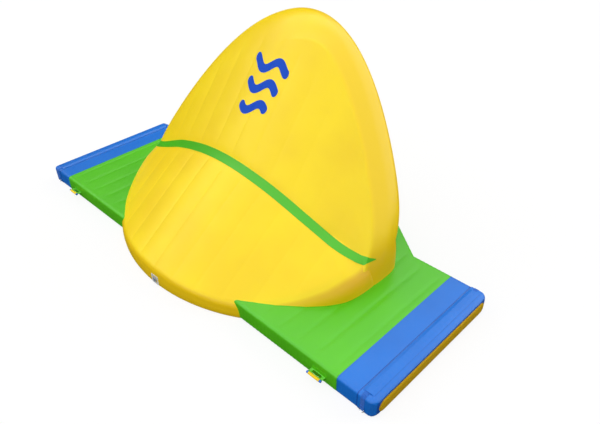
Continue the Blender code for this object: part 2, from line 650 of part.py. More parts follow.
# Inflation valves: a flanged body, a bayonet cap, and a spring-loaded plunger that seals from inside
def valve(label, chamber, location, tilt_degrees):
    """The valve's own +Z points out of the chamber; tilt_degrees turns it about X from straight up."""
    frame = bpy.data.objects.new(f"{label}_valve_frame", None)
    bpy.context.scene.collection.objects.link(frame)
    frame.location = location
    frame.rotation_euler = (math.radians(tilt_degrees), 0, 0)

    stem_hole = STEM_RADIUS + 0.0008
    seat = -BARREL_DEPTH + 0.004
    body = add_object(f"{label}_valve_body", revolve([
        (stem_hole, WEB_BOTTOM), (stem_hole, WEB_TOP), (BORE_RADIUS, WEB_TOP),
        (BORE_RADIUS, COLLAR_TOP), (COLLAR_RADIUS, COLLAR_TOP), (COLLAR_RADIUS, FLANGE_THICKNESS),
        (FLANGE_RADIUS - 0.002, FLANGE_THICKNESS), (FLANGE_RADIUS, FLANGE_THICKNESS - 0.002),
        (FLANGE_RADIUS, GAP), (BARREL_RADIUS, GAP), (BARREL_RADIUS, -BARREL_DEPTH),
        (SEAT_RADIUS, -BARREL_DEPTH), (SEAT_RADIUS, seat), (LOWER_BORE_RADIUS, seat),
        (LOWER_BORE_RADIUS, WEB_BOTTOM),
    ]), PLASTIC)
    holes = bmesh.new()
    in_web = Matrix.Translation((AIR_HOLE_PITCH_RADIUS, 0, (WEB_TOP + WEB_BOTTOM) / 2))
    for quarter in range(4):
        place = Matrix.Rotation((quarter + 0.5) * math.pi / 2, 4, "Z") @ in_web
        bmesh.ops.create_cone(
            holes, cap_ends=True, segments=8, radius1=AIR_HOLE_RADIUS, radius2=AIR_HOLE_RADIUS,
            depth=0.010, matrix=place,
        )
    air_holes = cutter(f"{label}_valve_air_holes", holes)
    cut(body, air_holes)

    poppet_top = -BARREL_DEPTH - GAP
    poppet_bottom = poppet_top - POPPET_THICKNESS
    plunger = add_object(f"{label}_valve_plunger", revolve([
        (0, poppet_bottom), (POPPET_RADIUS, poppet_bottom), (POPPET_RADIUS, poppet_top),
        (STEM_RADIUS, poppet_top), (STEM_RADIUS, BUTTON_UNDERSIDE), (BUTTON_RADIUS, BUTTON_UNDERSIDE),
        (BUTTON_RADIUS, BUTTON_TOP - 0.001), (BUTTON_RADIUS - 0.001, BUTTON_TOP), (0, BUTTON_TOP),
    ], ROUND_SIDES), ("F2F4F5", 0.4))

    coil = bpy.data.curves.new(f"{label}_valve_spring", "CURVE")
    coil.dimensions = "3D"
    coil.bevel_depth = SPRING_WIRE_RADIUS
    coil.bevel_resolution = 1
    coil.use_fill_caps = True
    line = coil.splines.new("POLY")
    line.points.add(SPRING_TURNS * SPRING_STEPS)
    low = WEB_TOP + SPRING_WIRE_RADIUS + GAP
    high = BUTTON_UNDERSIDE - SPRING_WIRE_RADIUS - GAP
    for i, point in enumerate(line.points):
        turn = i / SPRING_STEPS * math.tau
        height = low + (high - low) * i / (SPRING_TURNS * SPRING_STEPS)
        point.co = (SPRING_RADIUS * math.cos(turn), SPRING_RADIUS * math.sin(turn), height, 1)
    coil.materials.append(material(f"{label}_spring_finish", *STEEL))
    spring = bpy.data.objects.new(f"{label}_valve_spring", coil)
    bpy.context.scene.collection.objects.link(spring)

    cap_inside = COLLAR_RADIUS + 0.0004
    cap_foot = FLANGE_THICKNESS + 0.0005
    cap = add_object(f"{label}_valve_cap", revolve([
        (0, CAP_CEILING), (cap_inside, CAP_CEILING), (cap_inside, cap_foot), (CAP_RADIUS, cap_foot),
        (CAP_RADIUS, CAP_TOP - 0.002), (CAP_RADIUS - 0.002, CAP_TOP), (0, CAP_TOP),
    ]), ("9AA3AC", 0.4))
    bar = rounded_rectangle(-0.026, 0.026, -0.0045, 0.0045, 0.004, 3)
    bar_foot, bar_top = CAP_TOP - 0.001, CAP_TOP + CAP_BAR_HEIGHT
    grip = cutter(
        f"{label}_valve_cap_bar",
        extrude_outline([(x, y, 0) for x, y in bar], (0, 0, bar_foot), (0, 0, bar_top)),
    )
    cut(cap, grip, "UNION")

    pocket = cutter(f"{label}_valve_pocket", revolve([
        (0, -POCKET_DEPTH), (BARREL_RADIUS + GAP, -POCKET_DEPTH), (BARREL_RADIUS + GAP, 0.02), (0, 0.02),
    ]))
    for piece in (body, air_holes, plunger, spring, cap, grip, pocket):
        piece.parent = frame
    cut(chamber, pocket)


deck = deck_chamber()
wall = wall_chamber()
ramp = ramp_chamber()
crease_strip()
for end, end_name in ((-1, "left"), (1, "right")):
    end_section(end, end_name)
    end_panel(end, end_name)
    strap_sleeve(end, end_name)
    joining_strap(end, end_name)
    mooring_point(end, end_name)
    for out, out_name in ((-1, "near"), (1, "far")):
        hanging_ring(f"joining_ring_{end_name}_{out_name}", end * JOIN_X, out * RING_Y, JOIN_RING_Z)
        grab_handle(end, out, f"{end_name}_{out_name}")

front_facet_y = RIM_CENTRE_Y - RIM_HALF_WIDTH * math.cos(math.pi / 64)
wall_back_y = float(wall_faces(0.0, WALL_VALVE_Z)[1])
wall_tilt = 90 + math.degrees(math.atan(WALL_LEAN - WALL_DEPTH_TAPER))
valve("ramp", ramp, (RAMP_VALVE_X, front_facet_y, RAMP_VALVE_Z), 90)
valve("deck", deck, (DECK_VALVE_X, DECK_HALF, DECK_THICKNESS / 2), -90)
valve("wall", wall, (0, wall_back_y + 0.0010, WALL_VALVE_Z), -wall_tilt)
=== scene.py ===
"""The looks of an inflatable water park obstacle: a deck, and on it a leaning wall over a low ramp.

Metres, +Z up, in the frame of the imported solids. The file follows the object as it is put together.
"""

import json
import math

import bmesh
import bpy
import numpy as np
from mathutils import Matrix, Vector


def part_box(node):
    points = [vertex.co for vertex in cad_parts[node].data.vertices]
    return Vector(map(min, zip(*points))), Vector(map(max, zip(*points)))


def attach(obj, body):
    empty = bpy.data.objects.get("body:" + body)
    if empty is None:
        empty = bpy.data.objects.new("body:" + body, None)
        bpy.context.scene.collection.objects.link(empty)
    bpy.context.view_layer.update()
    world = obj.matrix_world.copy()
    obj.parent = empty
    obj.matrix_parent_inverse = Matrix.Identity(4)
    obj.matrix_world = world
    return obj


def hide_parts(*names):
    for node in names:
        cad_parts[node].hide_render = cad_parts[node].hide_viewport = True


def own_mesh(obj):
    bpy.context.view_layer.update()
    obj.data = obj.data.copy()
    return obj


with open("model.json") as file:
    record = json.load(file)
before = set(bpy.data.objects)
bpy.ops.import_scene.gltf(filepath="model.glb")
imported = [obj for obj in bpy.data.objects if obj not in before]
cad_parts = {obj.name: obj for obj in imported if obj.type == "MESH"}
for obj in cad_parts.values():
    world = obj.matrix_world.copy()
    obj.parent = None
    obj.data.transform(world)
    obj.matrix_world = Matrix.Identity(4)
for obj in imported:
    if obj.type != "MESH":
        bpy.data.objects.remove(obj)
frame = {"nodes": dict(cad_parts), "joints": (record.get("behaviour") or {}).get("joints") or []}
scene = bpy.context.scene
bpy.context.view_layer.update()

# What the record calls each end and each long side of the deck, with its direction along x or y
ENDS = ((-1, "left"), (1, "right"))
EDGES = ((-1, "near"), (1, "far"))


# The view
# The picture looks down on the object from above its right end, and a pale floor and a broad soft
# light from overhead show its colours about as they are.
VIEW_PLACE = Vector((5.058, -3.856, 4.830))
VIEW_YAW = math.radians(135.0)
VIEW_PITCH = math.radians(35.44)
VIEW_ROLL = math.radians(-1.04)
VIEW_LENS_MM = 34.996
SENSOR_MM = 36.0

forward = Vector((
    math.cos(VIEW_YAW) * math.cos(VIEW_PITCH),
    math.sin(VIEW_YAW) * math.cos(VIEW_PITCH),
    -math.sin(VIEW_PITCH),
))
level = Vector((math.sin(VIEW_YAW), -math.cos(VIEW_YAW), 0.0))
upright = level.cross(forward)
across = math.cos(VIEW_ROLL) * level + math.sin(VIEW_ROLL) * upright
up = math.cos(VIEW_ROLL) * upright - math.sin(VIEW_ROLL) * level
camera = bpy.data.objects.new("view", bpy.data.cameras.new("view"))
camera.data.lens = VIEW_LENS_MM
camera.data.sensor_width = SENSOR_MM
camera.data.sensor_fit = "HORIZONTAL"
camera.matrix_world = Matrix.Translation(VIEW_PLACE) @ Matrix((across, up, -forward)).transposed().to_4x4()
scene.collection.objects.link(camera)
scene.camera = camera
scene.view_settings.view_transform = "Standard"

# Soft lamps, each with its strength, its spread in degrees and where it shines from
for name, strength, spread, source in (
    ("front_light", 1.17, 98, (0.0, -0.60, 0.80)),
    ("right_light", 0.41, 98, (0.60, 0.0, 0.80)),
    ("low_left_light", 1.18, 70, (-1.0, -0.20, 0.30)),
    ("back_light", 1.29, 60, (0.35, 0.85, 0.35)),
):
    lamp = bpy.data.objects.new(name, bpy.data.lights.new(name, "SUN"))
    lamp.data.energy = strength
    lamp.data.angle = math.radians(spread)
    lamp.rotation_euler = Vector(source).to_track_quat("Z", "Y").to_euler()
    # What the skins mirror is drawn by the room below instead
    lamp.visible_glossy = False
    scene.collection.objects.link(lamp)


def colour(hex_code):
    """An sRGB hex colour as the linear colour that the shaders take."""
    srgb = np.array([int(hex_code[i : i + 2], 16) for i in (0, 2, 4)]) / 255
    linear = np.where(srgb <= 0.04045, srgb / 12.92, ((srgb + 0.055) / 1.055) ** 2.4)
    return (*linear.tolist(), 1.0)


def add_node(tree, kind, inputs=None, **settings):
    """Adds one shader node, sets its properties, and fills its inputs with values or other nodes' outputs.

    A node given for an input stands for its first output.
    """
    node = tree.nodes.new("ShaderNode" + kind)
    for setting, value in settings.items():
        setattr(node, setting, value)
    for socket, value in (inputs or {}).items():
        value = value.outputs[0] if isinstance(value, bpy.types.Node) else value
        if isinstance(value, bpy.types.NodeSocket):
            tree.links.new(value, node.inputs[socket])
        else:
            node.inputs[socket].default_value = value
    return node


def ray_kinds(tree):
    """(1 for rays that look straight at a surface, 1 for those that mirror it)."""
    ray = add_node(tree, "LightPath").outputs
    looked_at = {0: ray["Is Camera Ray"], 1: ray["Is Transmission Ray"]}
    return add_node(tree, "Math", looked_at, operation="MAXIMUM"), ray["Is Glossy Ray"]


# Studio floor paint: white to the eye, and dull in the light that it throws back up and in mirror images
FLOOR_SIZE = 120.0
FLOOR_Z = -0.001
FLOOR_BOUNCE = 0.30
FLOOR_GLOW = 0.86
FLOOR_IN_GLOSS = 0.03
floor_paint = bpy.data.materials.new("studio_floor_paint")
floor_paint.use_nodes = True
tree = floor_paint.node_tree
tree.nodes.clear()
looked_at, in_gloss = ray_kinds(tree)
dull = add_node(tree, "BsdfDiffuse", {"Color": (FLOOR_BOUNCE,) * 3 + (1.0,)})
pale = add_node(tree, "BsdfDiffuse", {"Color": colour("FFFFFF")})
glow = add_node(tree, "Emission", {"Color": colour("FFFFFF"), "Strength": 1.0})
seen = add_node(tree, "MixShader", {0: FLOOR_GLOW, 1: pale, 2: glow})
faint = add_node(tree, "Emission", {"Color": colour("FFFFFF"), "Strength": FLOOR_IN_GLOSS})
unlit = add_node(tree, "MixShader", {0: in_gloss, 1: dull, 2: faint})
both = add_node(tree, "MixShader", {0: looked_at, 1: unlit, 2: seen})
add_node(tree, "OutputMaterial", {"Surface": both})
floor_mesh = bpy.data.meshes.new("floor")
half = FLOOR_SIZE / 2
corners = [(-half, -half, FLOOR_Z), (half, -half, FLOOR_Z), (half, half, FLOOR_Z), (-half, half, FLOOR_Z)]
floor_mesh.from_pydata(corners, [], [(0, 1, 2, 3)])
floor_mesh.materials.append(floor_paint)
floor = bpy.data.objects.new("floor", floor_mesh)
scene.collection.objects.link(floor)

# The room: an even light, white to the eye, in whose mirror image only the part overhead is bright
ROOM_LIGHT = 0.40
CEILING_IN_GLOSS = 3.5
WALLS_IN_GLOSS = 0.03
CEILING_MIDDLE = Vector((0.55, -0.25, 0.80)).normalized()
CEILING_FROM = -0.05
CEILING_TO = 0.16
room = bpy.data.worlds.new("studio_room")
room.use_nodes = True
tree = room.node_tree
tree.nodes.clear()
looked_at, in_gloss = ray_kinds(tree)
way = add_node(tree, "TexCoord").outputs["Generated"]
to_ceiling = add_node(tree, "VectorMath", {0: way, 1: CEILING_MIDDLE}, operation="DOT_PRODUCT")
ceiling = add_node(
    tree, "MapRange",
    {0: to_ceiling.outputs["Value"], 1: CEILING_FROM, 2: CEILING_TO, 3: WALLS_IN_GLOSS, 4: CEILING_IN_GLOSS},
    interpolation_type="SMOOTHSTEP",
)
unseen = add_node(tree, "Mix", {0: in_gloss, 2: ROOM_LIGHT, 3: ceiling}, data_type="FLOAT")
strength = add_node(tree, "Mix", {0: looked_at, 2: unseen, 3: 1.0}, data_type="FLOAT")
air = add_node(tree, "Background", {"Color": colour("FFFFFF"), "Strength": strength})
add_node(tree, "OutputWorld", {"Surface": air})
scene.world = room


# Walking deck
# One flat air chamber of coated fabric, held flat by baffles welded across it inside. Each baffle pulls
# a shallow valley into the skin, and the welds along the edges gather it into small puckers.
deck_low, deck_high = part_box("deck_chamber")
DECK_ROUNDING = 0.036
FLARE_START_X = 2.146
FLARE_END_X = 1.10
DECK_BAFFLE_PITCH = 0.265
DECK_BAFFLE_FIRST_X = 1.80
DECK_BAFFLE_DEPTH = 0.0035
DECK_BAFFLE_WIDTH = 0.030
DECK_PUCKER = 0.0012
DECK_PUCKER_PITCH = 0.052
DECK_PUCKER_REACH = 0.05
DECK_FLAT_FROM_EDGE = 0.16
DECK_SIDE_BULGE = 0.004
DECK_STATIONS = 301


def new_material(name):
    """A material without nodes yet, its node tree, and the coordinates of the object that wears it."""
    made = bpy.data.materials.new(name)
    made.use_nodes = True
    made.node_tree.nodes.clear()
    return made, made.node_tree, add_node(made.node_tree, "TexCoord").outputs["Object"]


def noise(tree, place, scale, detail):
    """Cloudy noise from 0 to 1, whose lumps are about 1 / scale metres across."""
    return add_node(tree, "TexNoise", {"Vector": place, "Scale": scale, "Detail": detail})


def mapped(tree, value, reach, onto):
    """A value carried from one range onto another, and held at its ends."""
    return add_node(tree, "MapRange", {0: value, 1: reach[0], 2: reach[1], 3: onto[0], 4: onto[1]})


def two_tones(tree, share, hex_code, shade_hex):
    """The first colour where share is 0, and the second where it is 1."""
    tones = {0: share, 6: colour(hex_code), 7: colour(shade_hex)}
    return add_node(tree, "Mix", tones, data_type="RGBA").outputs[2]


def surface(tree, look):
    """Ends a material with the principled shader, given its inputs by name."""
    add_node(tree, "OutputMaterial", {"Surface": add_node(tree, "BsdfPrincipled", look)})


def threads(tree, place, pitch):
    """Sum of ribs along all three axes, pitch apart, of which any face shows the two that cross it."""
    relief = 0.0
    for direction in ("X", "Y", "Z"):
        wave = {"Vector": place, "Scale": math.tau / (20 * pitch)}
        thread = add_node(tree, "TexWave", wave, bands_direction=direction)
        relief = add_node(tree, "Math", {0: thread.outputs["Fac"], 1: relief})
    return relief


def coated_fabric(name, hex_code, shade_hex, slot, roughness=0.33):
    """Polyester cloth with a welded-on vinyl coating: a satin skin whose cloth shows as a faint relief.

    The threads lie about 1 mm apart, and are drawn 5 mm apart so that they show at all. This and the
    other finishes give a material with the record's slot for it.
    """
    made, tree, place = new_material(name)
    # Slow changes of the coating from roll to roll, a greyer tone where the welds hold dirt, and painted
    # shade where a piece asks for it through the same point attribute
    tone = mapped(tree, noise(tree, place, 1.3, 2.0), (0.35, 0.65), (0.0, 0.22))
    seam_and_shade = add_node(tree, "Attribute", attribute_name="seam_and_shade")
    shade = add_node(tree, "Math", {0: tone, 1: seam_and_shade.outputs["Fac"]}, operation="MAXIMUM")
    skin_colour = two_tones(tree, shade, hex_code, shade_hex)
    # Fine scuffs from feet and wet hands, a few millimetres to a few centimetres long
    wear = mapped(tree, noise(tree, place, 45.0, 5.0), (0.3, 0.7), (roughness - 0.05, roughness + 0.07))
    relief = threads(tree, place, 0.005)
    waves = add_node(tree, "Math", {0: noise(tree, place, 7.0, 2.0), 1: 6.0}, operation="MULTIPLY")
    height = add_node(tree, "Math", {0: relief, 1: waves})
    bump = add_node(tree, "Bump", {"Strength": 0.25, "Distance": 0.0003, "Height": height})
    surface(tree, {"Base Color": skin_colour, "Roughness": wear, "IOR": 1.4, "Normal": bump})
    return made, slot


def placed(name, mesh, finish, stands_for=None, body="hull"):
    """Puts a mesh into the scene as a piece that rides on a body and stands for a solid."""
    mesh.materials.append(finish[0])
    made = bpy.data.objects.new(name, mesh)
    scene.collection.objects.link(made)
    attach(made, body)
    if stands_for:
        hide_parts(stands_for)
    return made


def piece(name, points, finish, stands_for=None, body="hull", around=True, lids=False, seam_and_shade=0.0):
    """Skins a grid of points, shape (rows, columns, 3), merges what meets, and turns its faces outwards.

    around joins the last column to the first, and lids closes the first and last row.
    The last argument gives a number for each point that the material reads: 1 on a weld, 0 away from it, and
    up to 1 where shade is painted into the colour.
    """
    rows, columns = points.shape[:2]
    index = np.arange(rows * columns).reshape(rows, columns)
    ring = np.hstack([index, index[:, :1]]) if around else index
    cells = joined(ring[:-1, :-1], ring[:-1, 1:], ring[1:, 1:], ring[1:, :-1])
    faces = cells.reshape(-1, 4).tolist()
    if lids:
        faces += [index[0].tolist(), index[-1, ::-1].tolist()]
    mesh = bpy.data.meshes.new(name)
    mesh.from_pydata(points.reshape(-1, 3).tolist(), [], faces)
    welds = np.broadcast_to(seam_and_shade, (rows, columns)).astype(np.float32).ravel()
    mesh.attributes.new("seam_and_shade", "FLOAT", "POINT").data.foreach_set("value", welds)
    bm = bmesh.new()
    bm.from_mesh(mesh)
    bmesh.ops.remove_doubles(bm, verts=bm.verts, dist=2e-5)
    bmesh.ops.dissolve_degenerate(bm, edges=bm.edges, dist=1e-6)
    bmesh.ops.recalc_face_normals(bm, faces=bm.faces)
    if bm.calc_volume(signed=True) < 0:
        bmesh.ops.reverse_faces(bm, faces=bm.faces)
    bm.to_mesh(mesh)
    bm.free()
    mesh.shade_smooth()
    mesh.set_sharp_from_angle(angle=math.radians(50))
    return placed(name, mesh, finish, stands_for, body)


def joined(*parts):
    """Numbers or grids side by side, along a new last axis."""
    return np.stack(np.broadcast_arrays(*parts), axis=-1)


def section(low_y, high_y, low_z, high_z, radius, top=80, side=7, under=30, turn=7):
    """Points and outward normals, (y, z), round a rectangle with round corners, for arrays of its sizes.

    The order is top, far side, underside and near side, each followed by a quarter circle.
    """
    low_y, high_y, low_z, high_z = (np.atleast_1d(v)[:, None] for v in (low_y, high_y, low_z, high_z))
    places, normals = [], []
    corners = (
        (high_y - radius, high_z - radius, 90),
        (high_y - radius, low_z + radius, 0),
        (low_y + radius, low_z + radius, -90),
        (low_y + radius, high_z - radius, -180),
    )
    for k, (centre_y, centre_z, from_degrees) in enumerate(corners):
        before_y, before_z, _ = corners[k - 1]
        count = (top, side, under, side)[k]
        share = np.arange(count) / count
        out_y, out_z = ((0, 1), (1, 0), (0, -1), (-1, 0))[k]
        straight_y = before_y + (centre_y - before_y) * share + radius * out_y
        straight_z = before_z + (centre_z - before_z) * share + radius * out_z
        swing = np.radians(from_degrees - 90 * np.arange(turn) / turn)
        places.append(joined(straight_y, straight_z))
        places.append(joined(centre_y + radius * np.cos(swing), centre_z + radius * np.sin(swing)))
        normals.append(np.broadcast_to((out_y, out_z), places[-2].shape))
        normals.append(np.broadcast_to(joined(np.cos(swing), np.sin(swing)), places[-1].shape))
    return np.concatenate(places, axis=1), np.concatenate(normals, axis=1)


def headings(path):
    """Unit vectors along a path of points."""
    along = np.gradient(path, axis=0)
    return along / np.linalg.norm(along, axis=1)[:, None]


def valley(distance, width):
    """1 on a line, falling smoothly to 0 a few widths away."""
    return np.exp(-((distance / width) ** 2))


def ease(value, low, high):
    """0 up to low, 1 from high on, and a smooth step between them."""
    share = np.clip((value - low) / (high - low), 0, 1)
    return share**2 * (3 - 2 * share)


def puckers(along, pitch):
    """Small waves along a weld, from -1 to 1, whose spacing drifts so that no two are alike."""
    return np.sin(math.tau * along / pitch + 2.1 * np.sin(along * 3.1) + 1.3 * np.sin(along * 7.7 + 0.5))


green_fabric = coated_fabric("green_pvc_coated_polyester", "52BD10", "359C08", "green_coated_fabric")

x = np.linspace(deck_low.x, deck_high.x, DECK_STATIONS)
far_edge = np.interp(np.abs(x), [FLARE_END_X, FLARE_START_X], [deck_high.y, -deck_low.y])
places, normals = section(np.full_like(x, deck_low.y), far_edge, deck_low.z, deck_high.z, DECK_ROUNDING)
x = np.broadcast_to(x[:, None], places.shape[:2])
y, z = places[..., 0], places[..., 1]
to_edge = np.minimum(y - deck_low.y, far_edge[:, None] - y)
to_rounding = np.maximum(to_edge - DECK_ROUNDING, 0)
off_pitch = (np.abs(x) - DECK_BAFFLE_FIRST_X) % DECK_BAFFLE_PITCH
off_baffle = np.minimum(off_pitch, DECK_BAFFLE_PITCH - off_pitch)
flat = np.clip(to_rounding / DECK_FLAT_FROM_EDGE, 0, 1) ** 2
lift = -DECK_BAFFLE_DEPTH * valley(off_baffle, DECK_BAFFLE_WIDTH) * flat
gathers = puckers(x + 0.4 * y, DECK_PUCKER_PITCH) * valley(to_rounding, DECK_PUCKER_REACH)
lift = lift + DECK_PUCKER * gathers
upright_share = np.clip((z - deck_low.z) / (deck_high.z - deck_low.z), 0, 1)
lift = lift + DECK_SIDE_BULGE * np.sin(math.pi * upright_share) * (to_rounding == 0)
lift = np.where(normals[..., 1] < -0.5, 0, lift)
points = joined(x, y + normals[..., 0] * lift, z + normals[..., 1] * lift)
deck_seam = 0.35 * valley(deck_high.x - np.abs(x), 0.004)
piece("deck_skin", points, green_fabric, "deck_chamber", lids=True, seam_and_shade=deck_seam)


# Blue ends
# The deck's ends are welded on in blue, with a second layer wrapped round the last stretch, and round
# over into an end face. A flat tunnel across each end holds the joining strap.
CUFF_START_X = 2.950
CUFF_PROUD = 0.005
CUFF_CREASE = 0.0026
CORNER_ROUNDING = 0.09
END_ROUNDING = 0.062
END_ROLL = 0.070
END_SIDE_PUCKER = 0.0009
END_ROLL_PUCKER = 0.0011
TUNNEL_FROM_X = 2.958
TUNNEL_TO_X = 3.092
TUNNEL_HALF_LENGTH = 0.95
TUNNEL_HEIGHT = 0.0062
TUNNEL_THICKNESS = 0.0014
TUNNEL_PUCKER = 0.0007

blue_fabric = coated_fabric("blue_pvc_coated_polyester", "0A70D3", "0A469C", "blue_coated_fabric")
end_low, end_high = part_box("end_section_right")
end_face = end_high.x


def end_profile(x):
    """(how far the end stands out sideways, how far its top has come down) at a distance x from the middle.

    The last stretch turns through a quarter ellipse, like a roll, from the top and from the sides.
    """
    corner_swing = np.arcsin(np.clip((x - end_face + CORNER_ROUNDING) / CORNER_ROUNDING, 0, 1))
    top_swing = np.arcsin(np.clip((x - end_face + END_ROLL) / END_ROLL, 0, 1))
    cuff = CUFF_PROUD * np.clip((x - CUFF_START_X) / 0.004, 0, 1)
    crease = CUFF_CREASE * valley(x - CUFF_START_X + 0.002, 0.0035)
    inwards = CORNER_ROUNDING * (1 - np.cos(corner_swing))
    down = END_ROUNDING * (1 - np.cos(top_swing))
    return cuff - crease - inwards, cuff - crease - down


for side, label in ENDS:
    straight = np.linspace(end_low.x, CUFF_START_X - 0.012, 14)
    step = np.linspace(CUFF_START_X - 0.010, CUFF_START_X + 0.010, 15)
    plain = np.linspace(CUFF_START_X + 0.014, end_face - CORNER_ROUNDING, 8)
    roll = end_face - CORNER_ROUNDING * (1 - np.sin(np.radians(np.linspace(4, 90, 34))))
    x = np.concatenate([straight, step, plain, roll])
    widen, drop = end_profile(x)
    top = deck_high.z + drop
    low = np.maximum(-np.minimum(drop, 0), 0)
    half_width = widen - deck_low.y
    places, normals = section(-half_width, half_width, low, top, DECK_ROUNDING, top=60, under=20)
    x = np.broadcast_to(x[:, None], places.shape[:2])
    y, z = places[..., 0], places[..., 1]
    to_side = np.maximum(-deck_low.y - np.abs(y) - DECK_ROUNDING, 0)
    lift = END_SIDE_PUCKER * puckers(x * 1.4 + y * 0.3, 0.045) * valley(to_side, 0.04)
    lift = lift + END_ROLL_PUCKER * puckers(y, 0.07) * valley(x - end_face + 0.05, 0.04)
    lift = np.where(normals[..., 1] < -0.5, 0, lift)
    points = joined(side * x, y + normals[..., 0] * lift, z + normals[..., 1] * lift)
    seam_and_shade = np.maximum(0.5 * valley(x - end_low.x, 0.004), valley(x - CUFF_START_X + 0.003, 0.005))
    # The last 16 mm before the end face, where the roll turns down, are painted darker as shade.
    seam_and_shade = np.maximum(seam_and_shade, 0.9 * ease(x, end_face - 0.016, end_face - 0.004))
    piece(f"end_cover_{label}", points, blue_fabric, f"end_section_{label}", lids=True, seam_and_shade=seam_and_shade)

    # The tunnel is a strip welded down along both long edges, open at its two ends
    share = np.linspace(0, 1, 33)
    x = TUNNEL_FROM_X + (TUNNEL_TO_X - TUNNEL_FROM_X) * share
    base = deck_high.z + end_profile(x)[1]
    hump = TUNNEL_HEIGHT * np.clip(np.minimum(share, 1 - share) / 0.22 - 0.30, 0, 1) ** 0.7
    outer = joined(x, base + TUNNEL_THICKNESS + hump)
    inner = joined(x, base + 0.0002 + np.maximum(hump - 0.001, 0))[::-1]
    ring = np.concatenate([outer, inner])
    y = np.linspace(-TUNNEL_HALF_LENGTH, TUNNEL_HALF_LENGTH, 121)[:, None]
    height = ring[:, 1] + TUNNEL_PUCKER * puckers(y, 0.06) * (ring[:, 1] > base.max() + 0.003)
    points = joined(side * ring[:, 0], y, height)
    seam_and_shade = 0.7 * valley(np.minimum(ring[:, 0] - TUNNEL_FROM_X, TUNNEL_TO_X - ring[:, 0]), 0.004)
    piece(f"strap_tunnel_{label}", points, blue_fabric, f"strap_sleeve_{label}", lids=True, seam_and_shade=seam_and_shade)


# End panels
# A foam pad in yellow fabric covers each end face and takes the knocks of the next section. It is a long
# shape with round ends, crowned in the middle, with a narrow welded margin.
# The yellow's second colour, a deeper amber, is also painted on the wall's rim and the ramp's sides as shade.
yellow_fabric = coated_fabric("yellow_pvc_coated_polyester", "FFDF00", "E0A800", "yellow_coated_fabric")
# The pads are of the same yellow fabric, painted a darker yellow as the shade that falls on the end faces.
pad_fabric = coated_fabric("yellow_pvc_painted_shade", "C8A000", "B08A00", "yellow_coated_fabric")


def stadium(half_length, radius, straight=90, turn=22):
    """(y, z) round a long shape with round ends, anticlockwise from its lower left."""
    run = np.linspace(-half_length + radius, half_length - radius, straight, endpoint=False)
    swing = np.radians(np.arange(turn) * 180 / turn)
    return np.concatenate([
        joined(run, np.full_like(run, -radius)),
        joined(half_length - radius + radius * np.sin(swing), -radius * np.cos(swing)),
        joined(-run, np.full_like(run, radius)),
        joined(-half_length + radius - radius * np.sin(swing), radius * np.cos(swing)),
    ])


PAD_MARGIN = 0.009
PAD_CREASE_FROM_END = 0.105
PAD_CREASE = 0.0035
PAD_PUCKER = 0.0016
for side, label in ENDS:
    pad_low, pad_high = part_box(f"end_panel_{label}")
    half_length = (pad_high.y - pad_low.y) / 2
    radius = (pad_high.z - pad_low.z) / 2
    middle = (pad_high.z + pad_low.z) / 2
    back, front = sorted((abs(pad_low.x), abs(pad_high.x)))
    # Steps from the back's middle out to the margin, round it, and in again over the crown to the middle
    inset = np.array([
        radius, 0.03, 0.0, 0.0, 0.001, 0.004, PAD_MARGIN, 0.011, 0.014, 0.020, 0.028, 0.040, 0.055, radius,
    ])
    proud = np.array([0.0, 0.0, 0.0, 0.05, 0.10, 0.13, 0.13, 0.20, 0.42, 0.68, 0.84, 0.95, 0.99, 1.0])
    rings = []
    for step_in, height in zip(inset, proud):
        around = stadium(half_length - step_in, max(radius - step_in, 1e-5))
        x = back + (front - back) * height
        from_end = half_length - around[:, 0]
        crease = PAD_CREASE * valley(from_end - PAD_CREASE_FROM_END - 0.6 * around[:, 1] ** 2 / radius, 0.006)
        gather = PAD_PUCKER * puckers(around[:, 0], 0.06) * valley(height - 0.5, 0.35)
        x = x + np.where(height > 0.15, gather - crease * height, 0)
        rings.append(joined(side * x, around[:, 0], middle + around[:, 1]))
    seam_and_shade = np.where(np.abs(inset - PAD_MARGIN) < 0.003, 0.6, 0.0)[:, None]
    pad = piece(f"end_pad_{label}", np.array(rings), pad_fabric, f"end_panel_{label}", seam_and_shade=seam_and_shade)


# Leaning wall
# The tall yellow leaf is one air chamber too: a front and a back panel, drawn together round a fat rim.
# Its baffles run up the slope. Along the fold the skin is pulled in, so it rolls over towards the ramp.
wall_low, wall_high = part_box("wall_chamber")
WALL_LEAN = 0.80
WALL_SET = 0.98
WALL_CURVE = 0.17
ARCH_CURVE = 0.433
WALL_HALF_WIDTH = 2.145
WALL_DEPTH_AT_FOOT = 0.604
WALL_DEPTH_TAPER = 0.026
WALL_RIM_SHARE = 0.145
HEEL_TOP = 0.616
HEEL_SLOPE = 0.80
RIM_ROUNDNESS = 2.6
EDGE_AT_LEFT = 0.02
EDGE_AT_RIGHT = 0.82
BAFFLE_PITCH = 0.33
VALLEY_DEPTH = 0.0035
VALLEY_WIDTH = 0.010
CROWN_HEIGHT = 0.0055
GATHER_DEPTH = 0.0014
GATHER_PITCH = 0.085
GATHER_REACH = 0.09
RIM_GATHER_DEPTH = 0.0010
RIM_GATHER_PITCH = 0.075
HOLLOW_DEPTH = 0.009
HOLLOW_X = 1.62
HOLLOW_Z = 0.80
HOLLOW_REACH = 0.16
# The ramp's sizes come here too, because the fold lies where its top meets the wall
RAMP_PEAK = 1.20
RAMP_SLOPE = 0.72
RAMP_CURVE = 0.185
RIM_HALF_LENGTH = 2.115
RIM_HALF_WIDTH = 1.775
RIM_CENTRE_Y = 0.43
RAMP_RIM_RADIUS = 0.06
RAMP_SIDE_RADIUS = 0.19
CORNER_SINE = 0.33
CORNER_LIFT = 0.16
CORNER_BULGE = 0.036
FOLD_SAG = 0.016
SHOULDER_Y = 0.20
SHOULDER_FALL = 1.3
SHOULDER_DEPTH = 0.28
FOLD_PULL = 0.024
FOLD_REACH = 0.090
FOLD_INWARDS = np.array([0.0, math.sin(math.radians(43)), -math.cos(math.radians(43))])
STRIP_END_X = 2.085


